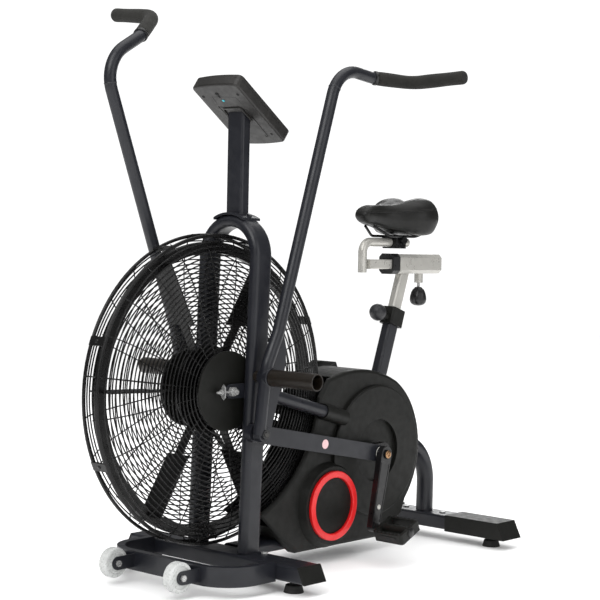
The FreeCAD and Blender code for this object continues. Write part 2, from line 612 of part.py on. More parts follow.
def cover_shell():
    side_y, skin = 62.0, 3.0
    outline = cover_outline()
    outer = Part.Face(outline).extrude(V(0, side_y, 0))
    rim = [e for e in outer.Edges if all(abs(v.Point.y - side_y) < 0.01 for v in e.Vertexes)]
    outer = outer.makeFillet(9.0, rim)
    inner = Part.Face(outline.makeOffset2D(-skin)).extrude(V(0, side_y - skin, 0))
    disc = rod_y(CRANK_X, CRANK_Z, 160, (side_y - 1, 72))
    disc = disc.makeFillet(4.0, [e for e in disc.Edges if abs(e.CenterOfMass.y - 72) < 0.01])
    boss = Part.makeCone(103, 93, 19, V(JACK_X, side_y - 1, JACK_Z), Y_DIR)
    along = math.degrees(math.atan2(STAY_FRONT[1] - STAY_REAR[1], STAY_FRONT[0] - STAY_REAR[0]))
    socket = fuse([Part.makeCylinder(18.4, 82, V(-386, STAY_Y, STAY_REAR[1]), X_DIR),
                   box((-386, -304), (side_y - 1, STAY_Y), (STAY_REAR[1] - 18.4, STAY_REAR[1] + 18.4))])
    socket = turned(socket, STAY_REAR[0], STAY_REAR[1], -along)
    shell = fuse([outer, disc, boss, socket])
    cuts = [inner, rod_y(CRANK_X, CRANK_Z, 157, (50, 69)).cut(rod_y(CRANK_X, CRANK_Z, 80, (40, 80))),
            rod_y(CRANK_X, CRANK_Z, 77, (side_y, 90)), rod_y(CRANK_X, CRANK_Z, 14, (40, 80)),
            rod_y(JACK_X, JACK_Z, 86, (50, 77)), rod_y(0, FAN_Z, 357, (-1, 54)),
            bar((-200, STAY_Y, 394.9), (STAY_REAR[0] - 2, STAY_Y, STAY_REAR[1] - 0.6), 15.4),
            rod_y(STAY_REAR[0], STAY_REAR[1], 12.4, (0, STAY_Y)),
            box((-500, -90), (-1, 33), (20, 71)),
            round_tube([V(-600, 0, CRANK_Z - 4), V(-900, 0, CRANK_Z - 4)], None, 25),
            turned(box((SEAT_AXIS_X - 21, SEAT_AXIS_X + 21), (-1, 15), (300, 560)),
                   SEAT_AXIS_X, SEAT_AXIS_Z, -SEAT_LEAN)]
    for tool in cuts:
        shell = shell.cut(tool)
    solids = sorted(shell.Solids, key=lambda solid: -solid.Volume)
    shell = solids[0].cut(box((-900, 400), (-5, 0.15), (0, 600)))
    return sorted(shell.Solids, key=lambda solid: -solid.Volume)[0]


def make_cover():
    shell = cover_shell()
    save("cover_left", shell)
    save("cover_right", mirrored(shell))
    ring = ring_y(JACK_X, JACK_Z, 83, 67, (80, 88))
    ring = ring.makeFillet(2.5, [e for e in ring.Edges if abs(e.CenterOfMass.y - 88) < 0.01])
    save("boss_rings", both_sides(ring))


# ---------------------------------------------------------------- console

def crown(outer, inner, half_x):
    """Ring about the hoop's crown, leaning back with the hoop."""
    x = hoop_x(BEAM_TOP)
    ring = Part.makeCylinder(outer, 2 * half_x, V(x - half_x, 0, ARCH_Z), X_DIR)
    if inner:
        ring = ring.cut(Part.makeCylinder(inner, 2 * half_x, V(x - half_x, 0, ARCH_Z), X_DIR))
    return turned(ring, x, BEAM_TOP, -HOOP_LEAN)


def make_console_post(shell_back):
    """Post that stands on a curved plate bolted over the hoop's crown."""
    hoop_r = LEG_Y + LEG_WIDE / 2
    plate_r = hoop_r + 5
    plate = crown(plate_r, hoop_r, 29).common(box((-200, 50), (-46, 46), (790, 850)))
    path = Part.makePolygon([V(POST_X, 0, 800), V(POST_X, 0, 1120)])
    post = oval_tube(path, V(POST_X, 0, 800), X_DIR, Y_DIR, 28, 50, 7, 2.0)
    post = post.cut(crown(plate_r - 1, 0, 60)).cut(shell_back)
    bolts = []
    for side in (1, -1):
        lean = math.radians(22 * side)
        up = V(0, math.sin(lean), math.cos(lean))
        foot = V(POST_X - 1, 0, ARCH_Z) + up * (plate_r - 0.5)
        bolts.append(Part.makeCylinder(6, 4.5, foot, up))
    save("console_post", fuse([plate, post] + bolts))


def make_console():
    half, bulge = CONSOLE_HALF, 5.0
    top, bottom = V(*CONSOLE_TOP), V(*CONSOLE_BOTTOM)
    length = (top - bottom).Length
    tilt = math.degrees(math.atan2(top.z - bottom.z, top.x - bottom.x))

    def place(shape):
        shape = shape.copy()
        shape.rotate(V(0, 0, 0), Y_DIR, -tilt)
        shape.translate(bottom)
        return shape

    def panel(inset, z, corner):
        """Flat panel with straight sides and bowed ends, between the two limits in z."""
        side, low, high = half - inset, inset, length - inset
        a, b, c, d = V(low, -side, z[0]), V(high, -side, z[0]), V(high, side, z[0]), V(low, side, z[0])
        edges = [Part.LineSegment(a, b), Part.Arc(b, V(high + bulge, 0, z[0]), c),
                 Part.LineSegment(c, d), Part.Arc(d, V(low - bulge, 0, z[0]), a)]
        solid = Part.Face(Part.Wire([e.toShape() for e in edges])).extrude(V(0, 0, z[1] - z[0]))
        return solid.makeFillet(corner, [e for e in solid.Edges if e.BoundBox.ZLength > 1])

    def soften(solid, z, radius):
        return solid.makeFillet(radius, [e for e in solid.Edges if abs(e.CenterOfMass.z - z) < 0.01])
    back = soften(panel(0, (-17, 4), 12), -17, 5).cut(panel(3, (-14, 5), 9))
    front = soften(panel(0, (4, 14), 12), 14, 3)
    front = front.cut(box((62, length - 20), (-58, 58), (11, 20)))
    keys = []
    for y in (-38, 0, 38):
        front = front.cut(box((22, 42), (y - 13.4, y + 13.4), (4, 20)))
        keys.append(box((22.4, 41.6), (y - 13, y + 13), (6, 16)))
    save("console_back", place(back))
    save("console_front", place(front))
    save("console_screen", place(box((62.5, length - 20.5), (-57.5, 57.5), (11, 12.5))))
    for key, name in zip(keys, ("left", "middle", "right")):
        save("console_button_" + name, place(key))
    make_console_post(place(box((-100, length + 100), (-90, 90), (-17, 200))))


# ---------------------------------------------------------------- seat

def make_seat():
    axis = (SEAT_AXIS_X, SEAT_AXIS_Z, -SEAT_LEAN)
    s = SLIDE
    post_path = Part.makePolygon([V(SEAT_AXIS_X, 0, 366), V(SEAT_AXIS_X, 0, 720)])
    post = oval_tube(post_path, V(SEAT_AXIS_X, 0, 366), X_DIR, Y_DIR, 33, 21, 5, 2.0)
    post = turned(post, *axis)
    post = post.cut(box((s["rear"] - 20, s["front"] + 60), (-40, 40), (s["low"], 800)))
    save("seat_post", post)
    collar = box((SEAT_AXIS_X - 26, SEAT_AXIS_X + 24), (-20, 20), (562, 606))
    collar = collar.makeFillet(6.0, [e for e in collar.Edges if e.BoundBox.ZLength > 30])
    collar = collar.cut(box((SEAT_AXIS_X - 17, SEAT_AXIS_X + 17), (-11, 11), (540, 620)))
    collar = collar.cut(box((SEAT_AXIS_X - 19.1, SEAT_AXIS_X + 19.1), (-13.1, 13.1), (540, SEAT_TUBE_TOP)))
    boss_z = PIN_Z
    collar = fuse([collar, bar((SEAT_AXIS_X + 19, 0, boss_z), (SEAT_AXIS_X + 38, 0, boss_z), 11)])
    collar = collar.cut(bar((SEAT_AXIS_X + 17, 0, boss_z), (SEAT_AXIS_X + 60, 0, boss_z), PIN_R + 0.1))
    save("seat_collar", turned(collar, *axis))
    knob = bar((SEAT_AXIS_X + 46, 0, boss_z), (SEAT_AXIS_X + 58, 0, boss_z), 23)
    knob = knob.makeFillet(3.0, [knob.Edges[0], knob.Edges[2]])
    stem = bar((SEAT_AXIS_X + 17.2, 0, boss_z), (SEAT_AXIS_X + 47, 0, boss_z), PIN_R)
    save("pop_pin", turned(fuse([knob, stem]), *axis))
    make_slide(s)
    make_carriage()


def make_slide(s):
    chamfer = 9.0
    mid_z = (s["low"] + s["top"]) / 2

    def section(half, low, top, cut):
        pts = [(half - cut, low), (half, low + cut), (half, top - cut), (half - cut, top)]
        return pts + [(-y, z) for y, z in reversed(pts)]

    def track(x, half, low, top, cut):
        corners = [V(x[0], y, z) for y, z in section(half, low, top, cut)]
        return Part.Face(Part.makePolygon(corners + corners[:1])).extrude(V(x[1] - x[0], 0, 0))
    body = track((s["rear"], s["front"]), s["half"], s["low"], s["top"], chamfer)
    body = body.cut(track((s["rear"] - 1, s["front"] + 1), s["half"] - 3, s["low"] + 3, s["top"] - 3, 7.5))
    knob_x = -760.0
    body = body.cut(Part.makeCylinder(5, 10, V(knob_x, 0, s["low"] - 3)))
    channel = box((s["rear"] - 40, s["front"] + 40), (-18.4, 18.4), (698.6, 723.4))
    front = fuse([track((s["front"], s["front"] + 27), s["half"] + 1, s["low"] - 1, s["top"] + 1, chamfer),
                  track((s["front"] - 25, s["front"]), s["half"] - 3.1, s["low"] + 3.1, s["top"] - 3.1, 7.5)])
    rear = track((s["rear"] + 4, s["rear"] + 30), s["half"] - 3.1, s["low"] + 3.1, s["top"] - 3.1, 7.5)
    save("slide_bushes", group([front.cut(channel), rear.cut(channel)]))
    nut = Part.makeCylinder(11, 24, V(knob_x, 0, 663)).cut(Part.makeCylinder(4.1, 30, V(knob_x, 0, 660)))
    save("slide_housing", group([body, nut]))
    grip = Part.makeCylinder(22, 40, V(knob_x, 0, 611))
    grip = grip.makeFillet(4.0, [grip.Edges[0], grip.Edges[2]])
    for i in range(6):
        angle = math.radians(60 * i)
        grip = grip.cut(Part.makeCylinder(6, 60, V(knob_x + 25 * math.cos(angle), 25 * math.sin(angle), 600)))
    stud = Part.makeCylinder(4, 698.3 - 650, V(knob_x, 0, 650))
    save("slide_knob", fuse([grip, stud]))


def make_carriage():
    r = RAIL
    rail = box((r["rear"], r["front"]), (-r["half"], r["half"]), (r["low"], r["top"]))
    rail = rail.makeFillet(3.0, [e for e in rail.Edges if e.BoundBox.XLength > 100])
    bore = box((r["rear"] - 1, r["front"] - 8), (-r["half"] + 3, r["half"] - 3), (r["low"] + 3, r["top"] - 3))
    save("slide_rail", rail.cut(bore))
    points = [V(PILLAR_X, 0, 690), V(PILLAR_X, 0, PILLAR_Z), V(-706, 0, PILLAR_Z)]
    pillar = round_tube(points, [26], PILLAR_R)
    save("saddle_pillar", pillar.cut(box((-900, r["front"]), (-30, 30), (680, 740))))
    clamp = box((-676, -636), (-24, 24), (PILLAR_Z - 15, PILLAR_Z + 15))
    clamp = clamp.makeFillet(4.0, [e for e in clamp.Edges if e.BoundBox.ZLength > 25])
    ears = [rod_y(-656, PILLAR_Z + 6, 10, limits) for limits in ((24, 34), (-34, -24))]
    clamp = fuse([clamp] + ears).cut(bar((-720, 0, PILLAR_Z), (-600, 0, PILLAR_Z), PILLAR_R))
    rails = []
    for side in (1, -1):
        y = side * 29
        points = [V(-556, side * 14, 806), V(-600, y, 781.5), V(-704, y, 781.5), V(-738, side * 44, 796)]
        rails.append(round_tube(points, [30, 30], 3.5))
    save("saddle_clamp", group([clamp] + [rail.cut(clamp) for rail in rails]))
    cushion = saddle_solid()
    base = cushion.common(box((-900, 0), (-200, 200), (700, 812)))
    tools = fuse(rails)
    save("saddle_base", base.cut(tools))
    save("saddle_cushion", cushion.cut(box((-900, 0), (-200, 200), (700, 812))).cut(tools))


def saddle_solid():
    """Wide saddle: plan outline with a narrow nose, cut to its side profile."""
    def spline(points):
        curve = Part.BSplineCurve()
        curve.interpolate(points)
        return curve.toShape()
    low, high = 770.0, 900.0
    left = [V(-511, 0, low), V(-517, 18, low), V(-563, 28, low), V(-615, 48, low),
            V(-657, 86, low), V(-699, 98, low), V(-736, 80, low), V(-751, 38, low), V(-748, 0, low)]
    right = [V(p.x, -p.y, p.z) for p in reversed(left)]
    plan = Part.Wire([spline(left), spline(right)])
    body = Part.Face(plan).extrude(V(0, 0, high - low))
    top = [V(-495, -120, 842), V(-528, -120, 858), V(-578, -120, 860), V(-640, -120, 862),
           V(-700, -120, 879), V(-735, -120, 880), V(-760, -120, 864)]
    bottom = [V(-760, -120, 794), V(-696, -120, 790), V(-600, -120, 802), V(-495, -120, 822)]
    side = Part.Wire([spline(top), Part.makeLine(top[-1], bottom[0]), spline(bottom),
                      Part.makeLine(bottom[-1], top[0])])
    return body.common(Part.Face(side).extrude(V(0, 240, 0)))


os.makedirs("parts", exist_ok=True)
make_base()
make_wheel_bar()
make_hoop()
make_stays()
make_rear_frame()
make_cage()
make_fan()
make_crank()
make_jackshaft()
make_arms()
make_cover()
make_console()
make_seat()
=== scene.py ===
import math

import bmesh
import bpy
import numpy as np
from mathutils import Matrix, Vector


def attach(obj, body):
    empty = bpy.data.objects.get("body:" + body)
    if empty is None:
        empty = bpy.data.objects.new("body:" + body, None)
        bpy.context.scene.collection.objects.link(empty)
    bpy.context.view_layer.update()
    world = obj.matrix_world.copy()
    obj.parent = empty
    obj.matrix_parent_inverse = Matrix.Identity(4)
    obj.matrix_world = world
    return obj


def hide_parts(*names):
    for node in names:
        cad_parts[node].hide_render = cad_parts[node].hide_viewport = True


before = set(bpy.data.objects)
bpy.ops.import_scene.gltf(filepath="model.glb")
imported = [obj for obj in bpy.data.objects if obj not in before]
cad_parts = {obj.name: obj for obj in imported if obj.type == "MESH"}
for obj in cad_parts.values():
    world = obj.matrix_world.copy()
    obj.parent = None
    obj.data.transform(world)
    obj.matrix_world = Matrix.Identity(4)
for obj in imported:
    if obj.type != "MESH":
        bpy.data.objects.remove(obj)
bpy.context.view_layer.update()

# Looks for the air bike. Metres, +X forward, +Y to the rider's left, floor at Z = 0.
SIDES = ((1, "left"), (-1, "right"))
AXLE_X, AXLE_Z = 0.2485, 0.430


# ---------------------------------------------------------------- camera and stage

CAMERA_PLACE = (2.7055, 2.4905, 0.7716)
CAMERA_YAW, CAMERA_PITCH, CAMERA_ROLL = 222.07, -2.26, 1.18
CAMERA_LENS, SENSOR_WIDTH = 93.68, 36.0


def add_camera():
    """Camera in front of the bike's left side, a little below the saddle's height."""
    yaw, pitch, roll = (math.radians(a) for a in (CAMERA_YAW, CAMERA_PITCH, CAMERA_ROLL))
    forward = Vector((math.cos(yaw) * math.cos(pitch), math.sin(yaw) * math.cos(pitch), math.sin(pitch)))
    level = forward.cross(Vector((0, 0, 1))).normalized()
    upright = level.cross(forward)
    right = level * math.cos(roll) + upright * math.sin(roll)
    up = upright * math.cos(roll) - level * math.sin(roll)
    data = bpy.data.cameras.new("camera")
    data.sensor_width = SENSOR_WIDTH
    data.lens = CAMERA_LENS
    camera = bpy.data.objects.new("camera", data)
    turn = Matrix((right, up, -forward)).transposed().to_4x4()
    camera.matrix_world = Matrix.Translation(CAMERA_PLACE) @ turn
    bpy.context.scene.collection.objects.link(camera)
    bpy.context.scene.camera = camera


def add_area(name, place, target, size, power):
    """Rectangular lamp that faces its target."""
    data = bpy.data.lights.new(name, "AREA")
    data.shape = "RECTANGLE"
    data.size, data.size_y = size
    data.energy = power
    light = bpy.data.objects.new(name, data)
    light.location = place
    light.rotation_euler = (Vector(target) - Vector(place)).to_track_quat("-Z", "Y").to_euler()
    bpy.context.scene.collection.objects.link(light)


BACKDROP_STRENGTH, REFLECTED_STRENGTH = 1.12, 0.36


def add_world():
    """White surroundings; what reflects in the bike is dimmer, and dimmest low down."""
    world = bpy.data.worlds.new("studio")
    bpy.context.scene.world = world
    world.use_nodes = True
    tree = world.node_tree
    tree.nodes.clear()
    out = tree.nodes.new("ShaderNodeOutputWorld")
    seen = tree.nodes.new("ShaderNodeBackground")
    seen.inputs["Color"].default_value = (1, 1, 1, 1)
    seen.inputs["Strength"].default_value = BACKDROP_STRENGTH
    lit = tree.nodes.new("ShaderNodeBackground")
    lit.inputs["Strength"].default_value = REFLECTED_STRENGTH
    coords = tree.nodes.new("ShaderNodeTexCoord")
    split = tree.nodes.new("ShaderNodeSeparateXYZ")
    ramp = tree.nodes.new("ShaderNodeValToRGB")
    ramp.color_ramp.elements[0].position = 0.0
    ramp.color_ramp.elements[0].color = (0.16, 0.16, 0.17, 1)
    ramp.color_ramp.elements[1].position = 0.75
    ramp.color_ramp.elements[1].color = (1, 1, 1, 1)
    path = tree.nodes.new("ShaderNodeLightPath")
    mix = tree.nodes.new("ShaderNodeMixShader")
    tree.links.new(coords.outputs["Generated"], split.inputs[0])
    tree.links.new(split.outputs["Z"], ramp.inputs[0])
    tree.links.new(ramp.outputs["Color"], lit.inputs["Color"])
    tree.links.new(path.outputs["Is Glossy Ray"], mix.inputs[0])
    tree.links.new(seen.outputs[0], mix.inputs[1])
    tree.links.new(lit.outputs[0], mix.inputs[2])
    tree.links.new(mix.outputs[0], out.inputs[0])


# ---------------------------------------------------------------- materials

class Nodes:
    """Small helper for building a material's node tree."""

    def __init__(self, name):
        self.material = bpy.data.materials.new(name)
        self.material.use_nodes = True
        self.tree = self.material.node_tree
        self.shader = self.tree.nodes["Principled BSDF"]
        coords = self.add("ShaderNodeTexCoord")
        self.place = coords.outputs["Object"]

    def add(self, kind, **settings):
        node = self.tree.nodes.new(kind)
        for key, value in settings.items():
            setattr(node, key, value)
        return node

    def link(self, source, target):
        self.tree.links.new(source, target)

    def stretched(self, scale):
        """Object coordinates, stretched so that a texture becomes strokes."""
        mapping = self.add("ShaderNodeMapping")
        mapping.inputs["Scale"].default_value = scale
        self.link(self.place, mapping.inputs["Vector"])
        return mapping.outputs[0]

    def noise(self, scale, detail=3.0, vector=None):
        node = self.add("ShaderNodeTexNoise")
        node.inputs["Scale"].default_value = scale
        node.inputs["Detail"].default_value = detail
        self.link(vector or self.place, node.inputs["Vector"])
        return node.outputs["Fac"]

    def cells(self, scale, feature="F1"):
        node = self.add("ShaderNodeTexVoronoi", feature=feature)
        node.inputs["Scale"].default_value = scale
        self.link(self.place, node.inputs["Vector"])
        return node.outputs["Distance"]

    def spread(self, value, low, high, start=0.3, stop=0.7):
        """Map a 0 to 1 value onto low to high."""
        node = self.add("ShaderNodeMapRange")
        for key, number in (("From Min", start), ("From Max", stop), ("To Min", low), ("To Max", high)):
            node.inputs[key].default_value = number
        self.link(value, node.inputs["Value"])
        return node.outputs["Result"]

    def blend(self, factor, first, second):
        node = self.add("ShaderNodeMix", data_type="RGBA")
        for socket, value in ((node.inputs[6], first), (node.inputs[7], second)):
            if isinstance(value, tuple):
                socket.default_value = (*value, 1)
            else:
                self.link(value, socket)
        self.link(factor, node.inputs[0])
        return node.outputs[2]

    def maths(self, operation, a, b):
        node = self.add("ShaderNodeMath", operation=operation)
        for socket, value in zip(node.inputs, (a, b)):
            if isinstance(value, (int, float)):
                socket.default_value = value
            else:
                self.link(value, socket)
        return node.outputs[0]


def finish(name, colour, second, rough, metal=0.0, mottle=9.0, grain=1100.0, bump=0.10, depth=0.0004,
           spread=0.10, pattern="noise", edge=0.0009, wear=None, **sockets):
    """Procedural finish: mottled colour, uneven gloss, grain in the bump, softened and worn edges."""
    n = Nodes(name)
    broad = n.noise(mottle, 5.0)
    base = n.blend(n.spread(broad, 0.0, 1.0), colour, second)
    if pattern == "leather":
        fine = n.maths("ADD", n.cells(grain, "DISTANCE_TO_EDGE"), n.noise(grain * 0.25, 4.0))
    elif pattern == "pores":
        fine = n.maths("MULTIPLY", n.cells(grain), n.noise(grain * 0.5, 4.0))
    elif pattern == "brushed":
        fine = n.noise(grain, 4.0, n.stretched((0.03, 1.0, 1.0)))
    else:
        fine = n.noise(grain, 4.0)
    bevel = n.add("ShaderNodeBevel", samples=4)
    bevel.inputs["Radius"].default_value = edge
    relief = n.add("ShaderNodeBump")
    relief.inputs["Strength"].default_value = bump
    relief.inputs["Distance"].default_value = depth
    n.link(fine, relief.inputs["Height"])
    n.link(bevel.outputs[0], relief.inputs["Normal"])
    n.link(relief.outputs[0], n.shader.inputs["Normal"])
    if wear:
        geometry = n.add("ShaderNodeNewGeometry")
        dot = n.add("ShaderNodeVectorMath", operation="DOT_PRODUCT")
        n.link(bevel.outputs[0], dot.inputs[0])
        n.link(geometry.outputs["Normal"], dot.inputs[1])
        corner = n.spread(dot.outputs["Value"], 1.0, 0.0, 0.72, 0.97)
        rubbed = n.maths("MULTIPLY", corner, n.spread(n.noise(60.0, 5.0), 0.0, 0.8, 0.45, 0.7))
        base = n.blend(rubbed, base, wear)
    n.link(base, n.shader.inputs["Base Color"])
    patch = n.noise(mottle * 3.3, 6.0)
    n.link(n.spread(patch, rough - spread, rough + spread, 0.25, 0.75), n.shader.inputs["Roughness"])
    n.shader.inputs["Metallic"].default_value = metal
    for key, value in sockets.items():
        n.shader.inputs[key.replace("_", " ")].default_value = value
    return n.material


def make_materials():
    m = {}
    m["frame_paint"] = finish("frame_paint", (0.0078, 0.0085, 0.0118), (0.0106, 0.0113, 0.0152), 0.36,
                              mottle=14, grain=1500, bump=0.12, wear=(0.040, 0.041, 0.047),
                              Specular_IOR_Level=0.42)
    m["cage_black"] = finish("cage_black", (0.0020, 0.0020, 0.0022), (0.0034, 0.0032, 0.0032), 0.28,
                             mottle=30, grain=900, bump=0.08, Specular_IOR_Level=0.32)
    m["gloss_black"] = finish("gloss_black", (0.0034, 0.0034, 0.0038), (0.0052, 0.0052, 0.0056), 0.34,
                              mottle=30, grain=600, bump=0.02, wear=(0.022, 0.022, 0.023))
    m["black_plastic"] = finish("black_plastic", (0.0032, 0.0034, 0.0025), (0.0050, 0.0052, 0.0040), 0.50,
                                mottle=18, grain=1300, bump=0.22, depth=0.0005, wear=(0.016, 0.016, 0.014),
                                Specular_IOR_Level=0.28)
    m["red_trim"] = finish("red_trim", (0.70, 0.004, 0.006), (0.58, 0.002, 0.004), 0.40, mottle=25,
                           grain=1200, bump=0.06, Coat_Weight=0.3, Coat_Roughness=0.15)
    m["clear_wheel"] = finish("clear_wheel", (0.60, 0.61, 0.60), (0.50, 0.51, 0.50), 0.30, mottle=50,
                              grain=300, bump=0.03, Transmission_Weight=0.15, IOR=1.46)
    m["silver"] = finish("silver", (0.50, 0.49, 0.455), (0.43, 0.42, 0.39), 0.32, metal=0.50, mottle=16,
                         grain=300, bump=0.025, pattern="brushed", wear=(0.60, 0.59, 0.56))
    m["bright_steel"] = finish("bright_steel", (0.46, 0.46, 0.45), (0.36, 0.36, 0.36), 0.26, metal=0.6,
                               mottle=90, grain=500, bump=0.03, pattern="brushed")
    m["foam"] = finish("foam", (0.0078, 0.0076, 0.0062), (0.0125, 0.0120, 0.0100), 0.88, mottle=40,
                       grain=1500, bump=0.55, depth=0.0008, spread=0.05, pattern="pores",
                       Sheen_Weight=0.04, Sheen_Roughness=0.6, Specular_IOR_Level=0.3)
    m["rubber"] = finish("rubber", (0.0055, 0.0055, 0.0055), (0.010, 0.0095, 0.009), 0.68, mottle=35,
                         grain=1600, bump=0.3, depth=0.0005)
    m["saddle_skin"] = finish("saddle_skin", (0.0036, 0.0036, 0.0031), (0.0058, 0.0057, 0.0050), 0.40,
                              mottle=22, grain=640, bump=0.30, depth=0.0006, pattern="leather",
                              Specular_IOR_Level=0.32)
    m["console_plastic"] = finish("console_plastic", (0.0088, 0.0080, 0.0072), (0.0130, 0.0118, 0.0105), 0.46,
                                  mottle=20, grain=1100, bump=0.2, wear=(0.035, 0.033, 0.031))
    m["display"] = finish("display", (0.20, 0.24, 0.19), (0.17, 0.205, 0.165), 0.16, mottle=25, grain=300,
                          bump=0.03, spread=0.04, Coat_Weight=1.0, Coat_Roughness=0.05)
    m["key"] = finish("key", (0.20, 0.20, 0.20), (0.24, 0.24, 0.24), 0.55, mottle=60, grain=1400, bump=0.2)
    m["grip_tape"] = finish("grip_tape", (0.0040, 0.0032, 0.0024), (0.0150, 0.0105, 0.0070), 0.34, mottle=420,
                            grain=900, bump=0.16, depth=0.0004)
    m["dark_hole"] = finish("dark_hole", (0.004, 0.004, 0.004), (0.006, 0.006, 0.006), 0.8)
    m["lcd_ink"] = finish("lcd_ink", (0.012, 0.016, 0.012), (0.016, 0.02, 0.016), 0.5)
    m["thread"] = finish("thread", (0.030, 0.029, 0.027), (0.045, 0.043, 0.040), 0.7, mottle=400,
                         grain=2500, bump=0.5)
    m["copper"] = finish("copper", (0.42, 0.24, 0.12), (0.33, 0.20, 0.11), 0.32, metal=1.0, mottle=200,
                         grain=900, bump=0.15)
    m["knob_grey"] = finish("knob_grey", (0.0105, 0.0108, 0.0130), (0.0140, 0.0144, 0.0170), 0.42, mottle=30,
                            grain=900, bump=0.06)
    m["cyan_dot"] = finish("cyan_dot", (0.03, 0.42, 0.50), (0.02, 0.34, 0.42), 0.4, mottle=90)
    m["pale_dot"] = finish("pale_dot", (0.72, 0.50, 0.50), (0.62, 0.38, 0.40), 0.5, mottle=160)
    return m


# ---------------------------------------------------------------- geometry helpers

def at(x, y, z):
    """Place from millimetres, with X measured from the fan's axle."""
    return Vector((x / 1000 + AXLE_X, y / 1000, z / 1000))


def ring_faces(rings, sides, closed=False):
    """Quads between rings of points that follow each other, the last to the first where closed."""
    faces = []
    for i in range(rings if closed else rings - 1):
        j = (i + 1) % rings
        for k in range(sides):
            n = (k + 1) % sides
            faces.append((i * sides + k, i * sides + n, j * sides + n, j * sides + k))
    return faces


def end_faces(rings, sides):
    """Faces that close the first and the last ring."""
    return [tuple(range(sides))[::-1], tuple(range((rings - 1) * sides, rings * sides))]


def prism(low, high):
    """Solid between two loops that have the same number of points."""
    count = len(low)
    return list(low) + list(high), end_faces(2, count) + ring_faces(2, count)


def plank(centre, along, across, size):
    """Six-sided bar with pointed ends, from its half length, half width and height."""
    length, width, height = size
    along, across = Vector(along).normalized(), Vector(across).normalized()
    up = along.cross(across)
    loop = [(-length, 0), (width - length, width), (length - width, width),
            (length, 0), (length - width, -width), (width - length, -width)]
    return prism(*([Vector(centre) + along * a + across * b + up * c for a, b in loop] for c in (0, height)))


def catmull(points, steps):
    """Smooth curve through the points, with a number of steps for each gap."""
    p = np.array(points, float)
    p = np.vstack([2 * p[0] - p[1], p, 2 * p[-1] - p[-2]])
    out = []
    for a, b, c, d in zip(p, p[1:], p[2:], p[3:]):
        for t in np.linspace(0, 1, steps, endpoint=False):
            out.append(0.5 * (2 * b + (c - a) * t + (2 * a - 5 * b + 4 * c - d) * t * t
                              + (3 * b - a - 3 * c + d) * t ** 3))
    out.append(p[-2])
    return np.array(out)


def rounded(points, radii, steps=12):
    """Polyline whose inner corners are rounded with arcs."""
    p = [Vector(q) for q in points]
    out = [p[0]]
    for before, corner, after, radius in zip(p, p[1:], p[2:], radii):
        a, b = (before - corner).normalized(), (after - corner).normalized()
        half = a.angle(b) / 2
        reach = radius / math.tan(half)
        centre = corner + (a + b).normalized() * (radius / math.sin(half))
        start, stop = corner + a * reach - centre, corner + b * reach - centre
        turn = start.angle(stop)
        for i in range(steps + 1):
            share = turn * i / steps
            out.append(centre + (start * math.sin(turn - share) + stop * math.sin(share)) / math.sin(turn))
    return out + [p[-1]]


def sweep(points, radius, sides=16, closed=False):
    """Tube along the points. Radius is one number or one for each point."""
    p = [Vector(q) for q in points]
    count = len(p)
    radii = [radius] * count if isinstance(radius, (int, float)) else list(radius)
    tangents = []
    for i in range(count):
        a = p[(i - 1) % count] if closed else p[max(i - 1, 0)]
        b = p[(i + 1) % count] if closed else p[min(i + 1, count - 1)]
        tangents.append((b - a).normalized())
    normal = tangents[0].orthogonal().normalized()
    verts = []
    for i in range(count):
        normal = (normal - tangents[i] * normal.dot(tangents[i])).normalized()
        side = tangents[i].cross(normal)
        for k in range(sides):
            a = 2 * math.pi * k / sides
            verts.append(p[i] + (normal * math.cos(a) + side * math.sin(a)) * radii[i])
    faces = ring_faces(count, sides, closed)
    if not closed:
        faces += end_faces(count, sides)
    return verts, faces


def circle_y(x, z, radius, y, steps=96, start=0.0, stop=360.0):
    """Points of a circle, or an arc, in a plane of constant Y."""
    whole = stop - start >= 360
    angles = np.radians(np.linspace(start, stop, steps, endpoint=not whole))
    return [Vector((x + radius * math.cos(a), y, z + radius * math.sin(a))) for a in angles]


TINY = 1e-5


def lathe(profile, origin, axis, sides=48):
    """Surface of revolution: profile holds (radius, height along the axis) from one end to the other."""
    axis = Vector(axis).normalized()
    u = axis.orthogonal().normalized()
    v = axis.cross(u)
    origin = Vector(origin)
    verts = []
    for radius, height in profile:
        for k in range(sides):
            a = 2 * math.pi * k / sides
            verts.append(origin + axis * height + (u * math.cos(a) + v * math.sin(a)) * max(radius, TINY))
    return verts, ring_faces(len(profile), sides) + end_faces(len(profile), sides)


def helix(origin, radius, pitch, turns, steps=14, forward=False):
    """Screw thread line from a point, upward or forward."""
    points = []
    for i in range(turns * steps + 1):
        a = 2 * math.pi * i / steps
        c, s, run = radius * math.cos(a), radius * math.sin(a), pitch * i / steps
        points.append(Vector(origin) + Vector((run, c, s) if forward else (c, s, run)))
    return points


def joined(parts):
    """One shape from several."""
    verts, faces = [], []
    for part_verts, part_faces in parts:
        base = len(verts)
        verts += list(part_verts)
        faces += [tuple(i + base for i in face) for face in part_faces]
    return verts, faces


def mesh_object(name, shape, material, smooth_angle=40.0):
    """Object with smooth shading except over sharp corners."""
    mesh = bpy.data.meshes.new(name)
    mesh.from_pydata([tuple(v) for v in shape[0]], [], shape[1])
    mesh.validate()
    work = bmesh.new()
    work.from_mesh(mesh)
    bmesh.ops.recalc_face_normals(work, faces=work.faces)
    for edge in work.edges:
        if len(edge.link_faces) == 2:
            edge.smooth = edge.calc_face_angle(0) < math.radians(smooth_angle)
    for face in work.faces:
        face.smooth = True
    work.to_mesh(mesh)
    work.free()
    mesh.materials.append(material)
    obj = bpy.data.objects.new(name, mesh)
    bpy.context.scene.collection.objects.link(obj)
    return obj


def piece(name, shape, body, material, smooth_angle=40.0):
    """Mesh piece that rides on a body."""
    obj = mesh_object(name, shape, material, smooth_angle)
    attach(obj, body)
    return obj


# ---------------------------------------------------------------- fan cage

